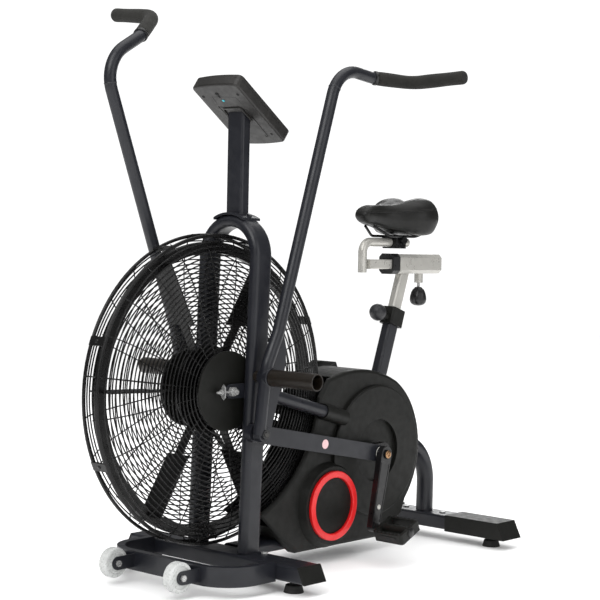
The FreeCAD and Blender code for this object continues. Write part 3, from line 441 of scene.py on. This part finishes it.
FACE = catmull([(0.088, 0.058), (0.170, 0.0565), (0.250, 0.054), (0.300, 0.046), (0.330, 0.034),
                (0.346, 0.021), (0.350, 0.016)], 12)
RING_PITCH, RING_WIRE, SPOKE_WIRE = 0.0106, 0.00165, 0.0014
OUTER_RING_R, INNER_RING_R = 0.3422, 0.092
HUB_RING_R, HUB_RING_Y, HUB_RING_WIRE = 0.0865, 0.0555, 0.0026
RIM_R, RIM_Y, RIM_WIRE = 0.3445, 0.0195, 0.0040
SPOKES = 24
# the right face stays open where the fan's belt runs down to the jackshaft
JACK_BACK, JACK_Z = 0.344, 0.138
CUTOUT_R, CUTOUT_HALF, CUTOUT_SPOKES = 0.222, 0.097, 26.0
CLIPS, CLIP_R, CLIP_SIZE = 8, 0.3462, (0.010, 0.0225, 0.0022)


def face_height(radius):
    return float(np.interp(radius, FACE[:, 0], FACE[:, 1]))


def grill(side):
    """One half of the cage: ring wires over radial spokes, and a thicker rim."""
    parts = []
    to_jack = math.degrees(math.atan2(JACK_Z - AXLE_Z, -JACK_BACK))
    for radius in np.arange(OUTER_RING_R, INNER_RING_R, -RING_PITCH):
        y = side * (face_height(radius) - RING_WIRE)
        if side < 0 and radius > CUTOUT_R:
            gap = math.degrees(math.asin(CUTOUT_HALF / radius))
            points = circle_y(AXLE_X, AXLE_Z, radius, y, 84, to_jack + gap, to_jack + 360 - gap)
            parts.append(sweep(points, RING_WIRE, 6))
        else:
            parts.append(sweep(circle_y(AXLE_X, AXLE_Z, radius, y), RING_WIRE, 6, closed=True))
    hub_ring = circle_y(AXLE_X, AXLE_Z, HUB_RING_R, side * HUB_RING_Y)
    parts.append(sweep(hub_ring, HUB_RING_WIRE, 8, closed=True))
    parts.append(sweep(circle_y(AXLE_X, AXLE_Z, RIM_R, side * RIM_Y, 120), RIM_WIRE, 8, closed=True))
    for i in range(SPOKES):
        angle = math.radians(360 / SPOKES * (i + 0.5))
        away = abs((math.degrees(angle) - to_jack + 180) % 360 - 180)
        run = [q for q in FACE[::3] if not (side < 0 and q[0] > CUTOUT_R and away < CUTOUT_SPOKES)]
        points = [Vector((AXLE_X + (r - 0.001) * math.cos(angle), side * (y - 2.6 * RING_WIRE),
                          AXLE_Z + (r - 0.001) * math.sin(angle))) for r, y in run]
        parts.append(sweep(points, SPOKE_WIRE, 6))
    return joined(parts)


def cage_pieces(m):
    """The two grilles, and the clips round the rim that hold them together."""
    for side, name in SIDES:
        obj = piece("cage_wire_" + name, grill(side), "frame", m["cage_black"])
        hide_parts("cage_" + name)
    clips = []
    length, half, thick = CLIP_SIZE
    for i in range(CLIPS):
        angle = math.radians(360 / CLIPS * i + 20)
        out = Vector((math.cos(angle), 0, math.sin(angle)))
        along = Vector((-math.sin(angle), 0, math.cos(angle)))
        centre = Vector((AXLE_X, 0, AXLE_Z)) + out * CLIP_R
        loop = [(-length, -half), (length, -half), (length, half), (-length, half)]
        clips.append(prism(*([centre + along * a + Vector((0, b, 0)) + out * c for a, b in loop]
                             for c in (-thick, thick))))
        clips.append(lathe([(0, 0), (0.0042, 0), (0.0042, 0.0016), (0.003, 0.0026), (0, 0.003)],
                           centre + out * 0.0016, out, 16))
    piece("cage_clips", joined(clips), "frame", m["cage_black"])


# ---------------------------------------------------------------- arms and grips

PIVOT = Vector((-0.058 + AXLE_X, 0, 0.462))
ARM_LEAN = 19.2
# the arm's points: distance from the pivot up the arm and back from it, and its place across the bike
HANDLE = [(0.738, -0.026, 0.129), (0.764, 0.092, 0.129), (0.791, 0.188, 0.173), (0.803, 0.200, 0.311)]
ARM_LINE = [(-0.128, 0.018, 0.130), (-0.045, 0.000, 0.130), (0.026, -0.013, 0.130), (0.104, -0.004, 0.130)]
ARM_BENDS, ARM_TUBE_R, ARC_STEPS = (0.12, 0.055, 0.07, 0.080, 0.040), 0.014, 14
GUSSET = [(0.108, 0.004), (0.078, 0.024), (0.045, 0.036), (0.000, 0.040), (-0.060, 0.041),
          (-0.112, 0.043), (-0.132, 0.040), (-0.141, 0.030), (-0.139, 0.018), (-0.118, 0.012),
          (-0.045, 0.000), (0.026, -0.011)]
GUSSET_SHEET = 0.0035
ROD_PIN = (-0.1236, 0.0245)


def arm_point(up, back, y, side):
    """Point of an arm at rest, from its distance up the arm, back from it, and sideways."""
    lean = math.radians(-ARM_LEAN * side)
    c, s = math.cos(lean), math.sin(lean)
    return Vector((PIVOT.x - back * c + up * s, side * y, PIVOT.z + back * s + up * c))


def arm_pieces(m):
    """Round tube with an offset bend round the pivot, a gusset plate behind it, and two bosses."""
    for side, name in SIDES:
        p = [arm_point(*q, side) for q in ARM_LINE + HANDLE[:3]]
        p[-1] = p[-2].lerp(p[-1], 0.22)
        line = rounded(p, ARM_BENDS, ARC_STEPS)
        parts = [sweep(line, ARM_TUBE_R, 28)]
        for y in (0.1230, 0.1345):
            parts.append(prism(*([arm_point(up, back, y + thick, side) for up, back in GUSSET]
                                 for thick in (0, GUSSET_SHEET))))
        out = Vector((0, side, 0))
        pivot, pin = arm_point(0, 0, 0, side), arm_point(*ROD_PIN, 0, side)
        boss = [(0, 0.1150), (0.0215, 0.1150), (0.0225, 0.1165), (0.0225, 0.1430), (0.0210, 0.1445),
                (0, 0.1445)]
        parts.append(lathe(boss, pivot, out, 40))
        eye = [(0, 0.1190), (0.0165, 0.1190), (0.0175, 0.1200), (0.0175, 0.1400), (0.0165, 0.1410),
               (0, 0.1410)]
        parts.append(lathe(eye, pin, out, 36))
        weld = 3 * (ARC_STEPS + 1) + 3
        run = (line[weld + 1] - line[weld - 1]).normalized()
        bead = [(0.0140, -0.0016), (0.0148, -0.0008), (0.0149, 0.0004), (0.0140, 0.0014)]
        parts.append(lathe(bead, line[weld], run, 28))
        arm = piece("arm_tube_" + name, joined(parts), "arm_" + name, m["frame_paint"])
        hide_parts("arm_" + name)
        socket = lathe([(0.0030, 0.0), (0.0058, 0.0), (0.0062, 0.0010), (0.0046, 0.0030), (0.0030, 0.0026)],
                       pin + out * 0.1459, out, 24)
        piece("arm_bolt_cap_" + name, socket, "arm_" + name, m["thread"])


GRIP_BEND, GRIP_STEP = 0.045, 0.004
GRIP_R, GRIP_WAVE, GRIP_END, GRIP_END_LENGTH = 0.0162, 0.0004, 0.0028, 0.0022


def grip_pieces(m):
    """Bent foam sleeves with an end plug and a ring where they start."""
    for side, name in SIDES:
        p = [arm_point(*q, side) for q in HANDLE]
        start = p[1] + (p[2] - p[1]) * 0.09
        stop = p[3] + (p[3] - p[2]).normalized() * GRIP_STEP
        raw = rounded([start, p[2], stop], [GRIP_BEND], ARC_STEPS)
        path = []
        for a, b in zip(raw, raw[1:]):
            count = max(1, int((b - a).length / GRIP_STEP))
            path += [a.lerp(b, i / count) for i in range(count)]
        path.append(raw[-1])
        lengths = np.cumsum([0] + [(b - a).length for a, b in zip(path, path[1:])])
        radii = []
        for s in lengths:
            end = min(s, lengths[-1] - s)
            radii.append(GRIP_R + GRIP_WAVE * math.sin(s * 55) - GRIP_END * math.exp(-end / GRIP_END_LENGTH))
        obj = piece("grip_foam_" + name, sweep(path, radii, 28), "arm_" + name, m["foam"], 60)
        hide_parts("grip_" + name)
        tip = (path[-1] - path[-2]).normalized()
        plug = [(0.0, -0.002), (0.0118, -0.002), (0.0124, 0.0), (0.0118, 0.0014), (0.008, 0.0022),
                (0, 0.0024)]
        cap = lathe(plug, path[-1], tip, 32)
        piece("grip_plug_" + name, cap, "arm_" + name, m["rubber"])
        first = (path[1] - path[0]).normalized()
        ring = lathe([(0.0142, -0.005), (0.0160, -0.005), (0.0170, -0.0035), (0.0170, 0.0015),
                      (0.0150, 0.002), (0.0142, 0.002)], path[0], first, 32)
        piece("grip_ring_" + name, ring, "arm_" + name, m["gloss_black"])


# ---------------------------------------------------------------- saddle

# the pad's plan (half of it), its top and its underside, as X from the axle and Y or Z
PAD_PLAN = [(-0.512, 0.0), (-0.5135, 0.012), (-0.520, 0.022), (-0.538, 0.0275), (-0.563, 0.030),
            (-0.590, 0.037), (-0.616, 0.051), (-0.641, 0.073), (-0.667, 0.0895), (-0.697, 0.096),
            (-0.725, 0.089), (-0.741, 0.067), (-0.749, 0.038), (-0.7475, 0.0)]
PAD_TOP = [(-0.751, 0.856), (-0.734, 0.873), (-0.706, 0.878), (-0.668, 0.871), (-0.632, 0.860),
           (-0.600, 0.8555), (-0.565, 0.8575), (-0.534, 0.856), (-0.510, 0.846)]
PAD_LOW = [(-0.751, 0.796), (-0.722, 0.789), (-0.684, 0.790), (-0.638, 0.797), (-0.590, 0.805),
           (-0.545, 0.813), (-0.510, 0.820)]
PAD_BACK, PAD_FRONT = -0.7485, -0.5125
PAD_STATIONS, PAD_POINTS_ACROSS = 60, 45
PAD_VOXEL, PAD_SWELL = 0.0045, 0.004
PAN_CENTRE, PAN_LENGTH_SHARE, PAN_WIDTH_SHARE = -0.635, 0.82, 0.70


def pad_line(points, steps):
    line = catmull(points, steps)
    line[:, 0] += AXLE_X
    return line


def pad_heights(x, y, closed, top_line, low_line):
    """Top and bottom height of the pad over a point of its plan."""
    gap = np.hypot(closed[:, 0] - x, closed[:, 1] - y).min()
    lobe = np.clip((AXLE_X - 0.600 - x) / 0.10, 0, 1)
    lobe = lobe * lobe * (3 - 2 * lobe)
    reach = 0.019 + 0.024 * lobe
    share = min(gap / reach, 1.0)
    dome = (1 - (1 - share) ** 2.3) ** (1 / 2.1)
    top = np.interp(x, top_line[:, 0], top_line[:, 1])
    low = np.interp(x, low_line[:, 0], low_line[:, 1])
    channel = 0.0145 * lobe * math.exp(-(y / 0.020) ** 2)
    dish = 0.0045 * (1 - lobe) * math.exp(-(y / 0.011) ** 2)
    dish *= np.clip((AXLE_X - 0.520 - x) / 0.03, 0, 1)
    middle = low + (top - low) * 0.42
    under = 1 - (1 - min(gap / (0.014 + 0.010 * lobe), 1.0)) ** 2.2
    return middle + (top - channel - dish - middle) * dome, middle - (middle - low) * under


def pad_shape(outline, closed, top_line, low_line):
    """Closed mesh of the pad: rings across it, closer together at its ends."""
    order = np.argsort(outline[:, 0])
    xs, ws = outline[order, 0], outline[order, 1]
    shares = [(1 - math.cos(math.pi * i / PAD_STATIONS)) / 2 for i in range(PAD_STATIONS + 1)]
    stations = AXLE_X + np.array([PAD_BACK + (PAD_FRONT - PAD_BACK) * share for share in shares])
    across = np.sin(np.linspace(-math.pi / 2, math.pi / 2, PAD_POINTS_ACROSS))
    verts = []
    for x in stations:
        width = max(float(np.interp(x, xs, ws)), 0.0006)
        heights = [(width * t, *pad_heights(x, width * t, closed, top_line, low_line)) for t in across]
        verts += [Vector((x, y, top)) for y, top, low in heights]
        verts += [Vector((x, y, low)) for y, top, low in heights[-2:0:-1]]
    ring = len(across) * 2 - 2
    ends = [face[::-1] for face in end_faces(len(stations), ring)]
    return verts, ring_faces(len(stations), ring) + ends


def saddle_pieces(m):
    """Pad, swollen by a cloth simulation, with its seam, over a stiff pan."""
    outline = pad_line(PAD_PLAN, 8)
    closed = np.vstack([outline, outline[::-1] * [1, -1]])
    top_line, low_line = pad_line(PAD_TOP, 6), pad_line(PAD_LOW, 6)
    pad = mesh_object("saddle_pad", pad_shape(outline, closed, top_line, low_line), m["saddle_skin"], 180)
    swell(pad, PAD_VOXEL, PAD_SWELL)
    seam_pieces(pad, closed, m)
    pan = [(AXLE_X + PAN_CENTRE + (x - AXLE_X - PAN_CENTRE) * PAN_LENGTH_SHARE, y * PAN_WIDTH_SHARE)
           for x, y in closed[::3]]
    pan_low = [np.interp(x, low_line[:, 0], low_line[:, 1]) for x, y in pan]
    shape = prism(*([Vector((x, y, z + rise)) for (x, y), z in zip(pan, pan_low)]
                    for rise in (-0.0012, 0.006)))
    base = piece("saddle_pan", shape, "saddle_carriage", m["black_plastic"])
    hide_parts("saddle_base")
    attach(pad, "saddle_carriage")
    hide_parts("saddle_cushion")


def swell(obj, voxel, limit):
    """Inflate a pad with a cloth simulation, and keep each point within a limit of where it was."""
    bpy.context.view_layer.objects.active = obj
    remesh = obj.modifiers.new("remesh", "REMESH")
    remesh.mode = "VOXEL"
    remesh.voxel_size = voxel
    apply_modifiers(obj)
    before = coordinates(obj.data)
    cloth = obj.modifiers.new("cloth", "CLOTH")
    cloth.settings.use_pressure = True
    cloth.settings.uniform_pressure_force = 4.0
    cloth.settings.effector_weights.gravity = 0.0
    cloth.point_cache.frame_start, cloth.point_cache.frame_end = 1, 20
    for number in range(1, 21):
        bpy.context.scene.frame_set(number)
    apply_modifiers(obj)
    bpy.context.scene.frame_set(1)
    move = coordinates(obj.data) - before
    far = np.linalg.norm(move, axis=1, keepdims=True)
    share = np.minimum(1.0, limit / np.maximum(far, 1e-9))
    obj.data.vertices.foreach_set("co", (before + move * share).astype(np.float32).ravel())
    smooth = obj.modifiers.new("smooth", "SMOOTH")
    smooth.iterations = 6
    smooth.factor = 0.5
    finer = obj.modifiers.new("finer", "SUBSURF")
    finer.levels = finer.render_levels = 1
    apply_modifiers(obj)
    for polygon in obj.data.polygons:
        polygon.use_smooth = True


def coordinates(mesh):
    flat = np.zeros(len(mesh.vertices) * 3, np.float32)
    mesh.vertices.foreach_get("co", flat)
    return flat.reshape(-1, 3).astype(float)


def apply_modifiers(obj):
    """Bake the modifiers' result into the object's mesh."""
    shown = obj.evaluated_get(bpy.context.evaluated_depsgraph_get())
    mesh = bpy.data.meshes.new_from_object(shown)
    materials = list(obj.data.materials)
    obj.modifiers.clear()
    obj.data = mesh
    obj.data.materials.clear()
    for material in materials:
        obj.data.materials.append(material)


def seam_pieces(pad, outline, m):
    """Piping round the pad where the top panel meets the side panel, with a row of stitches."""
    bpy.context.view_layer.update()
    middle = Vector((AXLE_X - 0.66, 0, 0))
    loop = []
    for (x, y), (nx, ny) in zip(outline, np.roll(outline, -1, axis=0)):
        normal = Vector((ny - y, x - nx, 0))
        if normal.length < 1e-6:
            continue
        normal.normalize()
        if normal.dot(Vector((x, y, 0)) - middle) > 0:
            normal = -normal
        height = 0.8405 + 0.011 * min(max((AXLE_X - 0.60 - x) / 0.12, 0.0), 1.0)
        outside = Vector((x, y, height)) - normal * 0.03
        hit, place, face_normal, _ = pad.ray_cast(outside, normal, distance=0.06)
        if hit and (not loop or (place - loop[-1][0]).length > 0.003):
            loop.append((place, face_normal))
    piping = sweep([place + up * 0.0001 for place, up in loop], 0.0008, 8, closed=True)
    piece("saddle_piping", piping, "saddle_carriage", m["rubber"])
    stitches = []
    for (place, up), (ahead, _) in zip(loop, loop[1:]):
        run = (ahead - place).normalized()
        centre = place + Vector((0, 0, 0.0032)) + up * 0.0002
        stitches.append(plank(centre, run, up.cross(run), (0.0014, 0.0004, 0.0005)))
    piece("saddle_stitches", joined(stitches), "saddle_carriage", m["thread"])


# ---------------------------------------------------------------- console

CONSOLE_LOW, CONSOLE_HIGH = at(-171, 0, 1003), at(-9, 0, 1119)
ALONG = (CONSOLE_HIGH - CONSOLE_LOW).normalized()
OUTWARD = Vector((-ALONG.z, 0, ALONG.x))
LEFT = Vector((0, 1, 0))
FACE_LENGTH, FACE_HALF, FACE_BOW = 199.25, 72.0, 5.0
DIGIT_TALL, DIGIT_WIDE, WINDOW_OUT = 9.0, 6.5, 12.6
SHELL_BACK = -17


def on_console(along, across, out):
    """Point of the console: up its face, to the left, and out from its face, in millimetres."""
    return CONSOLE_LOW + (ALONG * along + LEFT * across + OUTWARD * out) / 1000


def digit(along, across):
    """Seven plain segments of a display, lying on the window."""
    tall, wide = DIGIT_TALL, DIGIT_WIDE
    spots = [(0, 0, LEFT), (tall, 0, LEFT), (2 * tall, 0, LEFT), (tall / 2, wide / 2, ALONG),
             (tall / 2, -wide / 2, ALONG), (1.5 * tall, wide / 2, ALONG), (1.5 * tall, -wide / 2, ALONG)]
    parts = []
    for up, aside, run in spots:
        cross = OUTWARD.cross(run)
        half = (tall if run is ALONG else wide) / 2000 - 0.0006
        centre = on_console(along + up, across + aside, WINDOW_OUT)
        parts.append(plank(centre, run, cross, (half, 0.0007, 0.0002)))
    return parts


def console_pieces(m):
    """Generic display segments, rims and seams, and what is on the back shell."""
    marks = []
    for row, count, gap in ((74, 6, 17.0), (104, 4, 24.0), (134, 4, 24.0)):
        for k in range(count):
            marks += digit(row, (k - (count - 1) / 2) * gap)
    piece("console_digits", joined(marks), "frame", m["lcd_ink"])
    rim = [on_console(x, y, 14.1) for x, y in rounded_loop((60, 181.2), (-60, 60), 4)]
    piece("console_window_rim", sweep(rim, 0.0009, 8, closed=True), "frame",
          m["gloss_black"])
    seam = [on_console(x, y, 4.0) for x, y in console_outline(0.05)]
    piece("console_seam", sweep(seam, 0.0005, 6, closed=True), "frame", m["dark_hole"])
    grooves = [[(134, -36), (131, -34), (126, 0), (121, 34), (116, 38), (60, 38), (24, 36), (21, 33),
                (25, 29)],
               [(134, -36), (129, -37), (118, -34), (60, -34), (24, -34)],
               [(166, -30), (160, 38), (142, 40)], [(166, -30), (142, -32)]]
    lines = [sweep([on_console(x, y, SHELL_BACK) for x, y in line], 0.0007 if k < 2 else 0.0003, 8)
             for k, line in enumerate(grooves)]
    piece("console_grooves", joined(lines), "frame", m["dark_hole"])
    slot = [lathe([(0, 0), (0.0052, 0), (0.0052, 0.0006), (0.0042, 0.0010), (0, 0.0010)],
                  on_console(174, -8, SHELL_BACK - 0.1), -OUTWARD, 24),
            plank(on_console(167, -8, SHELL_BACK), ALONG, -LEFT, (0.006, 0.0022, 0.0010))]
    for x, y in ((168, -56), (168, 52), (30, -52), (30, 52)):
        slot.append(lathe([(0, 0), (0.0036, 0), (0.0036, 0.0005), (0.0016, 0.0006), (0, 0.0002)],
                          on_console(x, y, SHELL_BACK), -OUTWARD, 20))
    piece("console_back_screws", joined(slot), "frame", m["dark_hole"])
    light = lathe([(0, 0), (0.0034, 0), (0.0034, 0.0006), (0.0022, 0.0014), (0, 0.0017)],
                  on_console(151, -6, SHELL_BACK), -OUTWARD, 20)
    piece("console_lamp", light, "frame", m["cyan_dot"])
    collar = [on_console(x, y, SHELL_BACK - 1.2) for x, y in rounded_loop((78, 126), (-28, 28), 7)]
    piece("console_bracket", sweep(collar, 0.0022, 8, closed=True), "frame",
          m["console_plastic"])
    for y, name in ((-38, "left"), (0, "middle"), (38, "right")):
        mark = plank(on_console(32, y, 16), ALONG, LEFT, (0.0055, 0.0016, 0.0003))
        piece("button_mark_" + name, mark, "button_" + name, m["dark_hole"])


def rounded_loop(xs, ys, radius):
    """Closed rounded rectangle, as pairs."""
    out = []
    corners = ((xs[1], ys[1], 0), (xs[0], ys[1], 90), (xs[0], ys[0], 180), (xs[1], ys[0], 270))
    for x, y, start in corners:
        cx = x - radius if x == xs[1] else x + radius
        cy = y - radius if y == ys[1] else y + radius
        for step in range(7):
            a = math.radians(start + 15 * step)
            out.append((cx + radius * math.cos(a), cy + radius * math.sin(a)))
    return out


def console_outline(grow):
    """Edge of the console's face: straight sides and bowed ends."""
    high, half = FACE_LENGTH, FACE_HALF
    out = []
    for x, y in rounded_loop((0, high), (-half, half), 12):
        bow = FACE_BOW * (1 - (y / half) ** 2)
        inside = (x - high / 2) / (high / 2)
        out.append((x + bow * inside, y + grow * (1 if y > 0 else -1)))
    return out


# ---------------------------------------------------------------- knobs, wheels, crank

KNOB_X, KNOB_FLUTES, KNOB_SIDES = -760, 6, 72
KNOB_PROFILE = [(0, 603), (9, 604), (16, 607), (20.5, 612), (22, 619), (21.2, 628), (18.6, 638), (15, 645),
                (10.5, 649), (8.2, 652), (0, 652)]
SEAT_TUBE_LEAN = 18.8


def fluted_knob(centre):
    """Knob whose radius dips at each flute, most over the middle of its height."""
    verts = []
    for radius, height in KNOB_PROFILE:
        depth = 1 if 607 < height < 648 else 0.3
        for k in range(KNOB_SIDES):
            a = 2 * math.pi * k / KNOB_SIDES
            r = radius * (1 - 0.085 * (0.5 + 0.5 * math.cos(KNOB_FLUTES * a)) ** 3 * depth)
            verts.append(Vector((centre.x + r * math.cos(a) / 1000, r * math.sin(a) / 1000, height / 1000)))
    return verts, ring_faces(len(KNOB_PROFILE), KNOB_SIDES)


def knob_pieces(m):
    """The slide's clamping knob on its stud, and the ball of the seat post's pull pin."""
    centre = at(KNOB_X, 0, 0)
    knob = piece("slide_knob_grip", fluted_knob(centre), "slide_knob", m["gloss_black"], 60)
    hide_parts("slide_knob")
    stud = lathe([(0, 0.651), (0.0037, 0.651), (0.0037, 0.698), (0, 0.698)], (centre.x, 0, 0), (0, 0, 1), 24)
    threads = sweep(helix((centre.x, 0, 0.652), 0.0036, 0.0014, 9), 0.0004, 5)
    piece("slide_knob_stud", joined([stud, threads]), "slide_knob", m["bright_steel"])
    lean = math.radians(SEAT_TUBE_LEAN)
    out = Vector((math.cos(lean), 0, math.sin(lean)))
    up = Vector((-math.sin(lean), 0, math.cos(lean)))
    hub = at(-607, 0, 438) + up * 0.140
    ball = [(0, 0.0172), (0.0049, 0.0172), (0.0049, 0.0385), (0.0110, 0.0390), (0.0118, 0.0420),
            (0.0150, 0.0440), (0.0190, 0.0480), (0.0212, 0.0535), (0.0217, 0.0595), (0.0204, 0.0665),
            (0.0168, 0.0730), (0.0115, 0.0775), (0.0055, 0.0798), (0, 0.0802)]
    pin = piece("pop_pin_ball", lathe(ball, hub, out, 40), "pop_pin", m["knob_grey"], 50)
    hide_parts("pop_pin")


ROD_STICKER, BASE_STICKER = at(-275.3, 113, 293.8), at(-48.1, -89.4, 64.0)
TENSIONER_Y, AXLE_HEIGHT = 79, 430


def dot_pieces(m):
    """Two plain round stickers, and the tensioner bolts on the fan's axle."""
    pale = lathe([(0, 0), (0.0110, 0), (0.0110, 0.0003), (0, 0.0003)], ROD_STICKER, (0, 1, 0), 36)
    piece("rod_sticker", pale, "rod_left", m["pale_dot"])
    red = lathe([(0, 0), (0.0095, 0), (0.0095, 0.0003), (0, 0.0003)], BASE_STICKER, (0, 0, 1), 36)
    piece("base_sticker", red, "frame", m["red_trim"])
    for side, name in SIDES:
        y = side * TENSIONER_Y
        bolt = [(0, 0), (0.0028, 0), (0.0028, 0.040), (0, 0.040)]
        nut = [(0.0028, 0), (0.0065, 0), (0.0065, 0.005), (0.0028, 0.005)]
        hook = [lathe(bolt, at(9, y, AXLE_HEIGHT), (1, 0, 0), 20),
                sweep(helix(at(24, y, AXLE_HEIGHT), 0.0028, 0.0011, 20, 10, forward=True), 0.0003, 5),
                lathe(nut, at(34, y, AXLE_HEIGHT), (1, 0, 0), 6),
                plank(at(30, y, AXLE_HEIGHT), (0, 0, 1), (0, 1, 0), (0.017, 0.006, 0.002))]
        piece("axle_tensioner_" + name, joined(hook), "frame", m["bright_steel"])


WHEEL_X, WHEEL_Y, WHEEL_Z = 182, 103, 47.6
BUSH_FACE = 0.0112


def wheel_pieces(m):
    """Clear transport wheels with a steel bush in each face."""
    half = [(0.0041, 0.0100), (0.0085, 0.0120), (0.0150, 0.0120), (0.0165, 0.0104), (0.0235, 0.0104),
            (0.0250, 0.0120), (0.0298, 0.0120), (0.0322, 0.0106), (0.0333, 0.0078), (0.0333, 0.0030),
            (0.0324, 0.0018), (0.0324, 0.0)]
    profile = [(r, -y) for r, y in half] + [(r, y) for r, y in half[-2::-1]]
    for side, name in SIDES:
        centre = at(WHEEL_X, side * WHEEL_Y, WHEEL_Z)
        tyre = piece("wheel_tyre_" + name, lathe(profile, centre, (0, 1, 0), 72), "wheel_" + name,
                     m["clear_wheel"], 30)
        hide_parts("transport_wheel_" + name)
        bush = []
        for out in (1, -1):
            rows = [(0.0041, 0), (0.0074, 0), (0.0080, 0.0006), (0.0062, 0.0012), (0.0041, 0.0012)]
            bush.append(lathe([(r, out * (BUSH_FACE + h)) for r, h in rows], centre, (0, 1, 0), 28))
        piece("wheel_bush_" + name, joined(bush), "wheel_" + name, m["bright_steel"])


CRANK_X, CRANK_Z, PIN_THROW = -519, 254, 39
CRANK_LENGTH, CRANK_LEAN = 0.175, 12
CRANK_FACE, PIN_FACE, ROD_FACE = 0.1331, 0.137, 0.1129


def crank_pieces(m):
    """Bolt, plug and raised edges of each crank arm, and the ring in each rod's eye."""
    lean = math.radians(CRANK_LEAN)
    for side, name in SIDES:
        pin = at(CRANK_X + side * PIN_THROW, 0, CRANK_Z)
        reach = side * CRANK_LENGTH
        pedal = pin + Vector((reach * math.sin(lean), 0, -reach * math.cos(lean)))
        out = Vector((0, side, 0))
        down = (pedal - pin).normalized()
        wide = down.cross(out)
        face = out * CRANK_FACE
        bolt = lathe([(0, 0), (0.0098, 0), (0.0098, 0.0012), (0.0085, 0.0024), (0.0046, 0.0026),
                      (0.0040, 0.0008), (0, 0.0006)], pin + out * PIN_FACE, out, 32)
        piece("crank_bolt_" + name, bolt, "crank", m["copper"])
        plug = lathe([(0, 0), (0.0062, 0), (0.0062, 0.0008), (0.0040, 0.0014), (0, 0.0012)],
                     pin + down * 0.128 + face, out, 24)
        piece("crank_plug_" + name, plug, "crank", m["silver"])
        rail = []
        for edge in (1, -1):
            start = pin + down * 0.022 + wide * edge * 0.0150 + face
            stop = pedal - down * 0.012 + wide * edge * 0.0118 + face
            rail.append(sweep([start.lerp(stop, k / 8) for k in range(9)], 0.0011, 10))
        piece("crank_ridge_" + name, joined(rail), "crank", m["gloss_black"])
        eye = lathe([(0.0122, 0), (0.0170, 0), (0.0176, 0.0010), (0.0166, 0.0024), (0.0130, 0.0026),
                     (0.0122, 0.0012)], pin + out * ROD_FACE, out, 40)
        piece("rod_eye_ring_" + name, eye, "rod_" + name, m["silver"])
        pedal_pieces(pedal, out, name, m)


PEDAL_LEAN, PEDAL_MIDDLE, TEETH, TOOTH_GAP = -25, 0.197, 7, 0.0115


def pedal_pieces(pedal, out, name, m):
    """Teeth along the pedal's long walls, a reflector on each wall, and the end cap."""
    lean = math.radians(PEDAL_LEAN)
    ahead = Vector((math.cos(lean), 0, math.sin(lean)))
    up = Vector((-math.sin(lean), 0, math.cos(lean)))
    teeth = []
    for wall in (1, -1):
        for k in range(TEETH):
            for face in (1, -1):
                spot = pedal + ahead * wall * 0.0330 + out * (0.162 + TOOTH_GAP * k) + up * face * 0.0124
                teeth.append(lathe([(0, 0), (0.0026, 0), (0.0018, 0.0016), (0, 0.0018)], spot, up * face, 10))
    piece("pedal_teeth_" + name, joined(teeth), "pedal_" + name, m["gloss_black"])
    plates = []
    for wall in (1, -1):
        centre = pedal + ahead * wall * 0.0370 + out * PEDAL_MIDDLE
        plates.append(plank(centre, out, up, (0.026, 0.0055, 0.0011 * wall * out.y)))
    piece("pedal_reflectors_" + name, joined(plates), "pedal_" + name, m["rubber"])
    cap = lathe([(0, 0), (0.0105, 0), (0.0110, 0.0014), (0.0080, 0.0032), (0, 0.0036)],
                pedal + out * 0.2399, out, 28)
    piece("pedal_cap_" + name, cap, "pedal_" + name, m["gloss_black"])


# ---------------------------------------------------------------- build

NODE_FINISHES = {"foot_pegs": "grip_tape", "saddle_clamp": "cage_black", "crank_arm_left": "gloss_black",
                 "crank_arm_right": "gloss_black", "slide_bushes": "gloss_black",
                 "arm_fittings_left": "gloss_black", "arm_fittings_right": "gloss_black"}
FLOOR_HALF = 9


def dress_nodes(m):
    """Give each CAD node the finish of its own slot, or the one listed for it."""
    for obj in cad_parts.values():
        for place, old in enumerate(obj.data.materials):
            key = old.name.split(".")[0]
            obj.data.materials[place] = m.get(key, m["black_plastic"])
    for node, key in NODE_FINISHES.items():
        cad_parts[node].data.materials[0] = m[key]


def add_floor():
    corners = [(-1, -1), (1, -1), (1, 1), (-1, 1)]
    mesh = bpy.data.meshes.new("floor")
    mesh.from_pydata([(x * FLOOR_HALF, y * FLOOR_HALF, 0) for x, y in corners], [], [(0, 1, 2, 3)])
    floor = bpy.data.objects.new("floor", mesh)
    bpy.context.scene.collection.objects.link(floor)
    mesh.materials.append(finish("floor", (0.94, 0.94, 0.94), (0.95, 0.95, 0.95), 0.9, mottle=2, grain=300,
                                 bump=0.02))


def add_lights():
    add_area("key", (2.6, 0.6, 2.9), (0.0, 0.0, 0.6), (2.2, 2.2), 60)
    add_area("fill", (0.2, 3.4, 1.6), (-0.1, 0.0, 0.6), (2.4, 2.0), 26)
    add_area("top", (-0.2, 0.0, 3.6), (0.0, 0.0, 0.0), (3.0, 3.0), 48)
    add_area("rim", (-3.0, -1.6, 1.8), (0.0, 0.0, 0.7), (1.0, 2.4), 26)


materials = make_materials()
add_camera()
add_world()
dress_nodes(materials)
cage_pieces(materials)
arm_pieces(materials)
grip_pieces(materials)
saddle_pieces(materials)
console_pieces(materials)
knob_pieces(materials)
wheel_pieces(materials)
crank_pieces(materials)
dot_pieces(materials)
add_floor()
add_lights()
bpy.context.scene.view_settings.view_transform = "Standard"
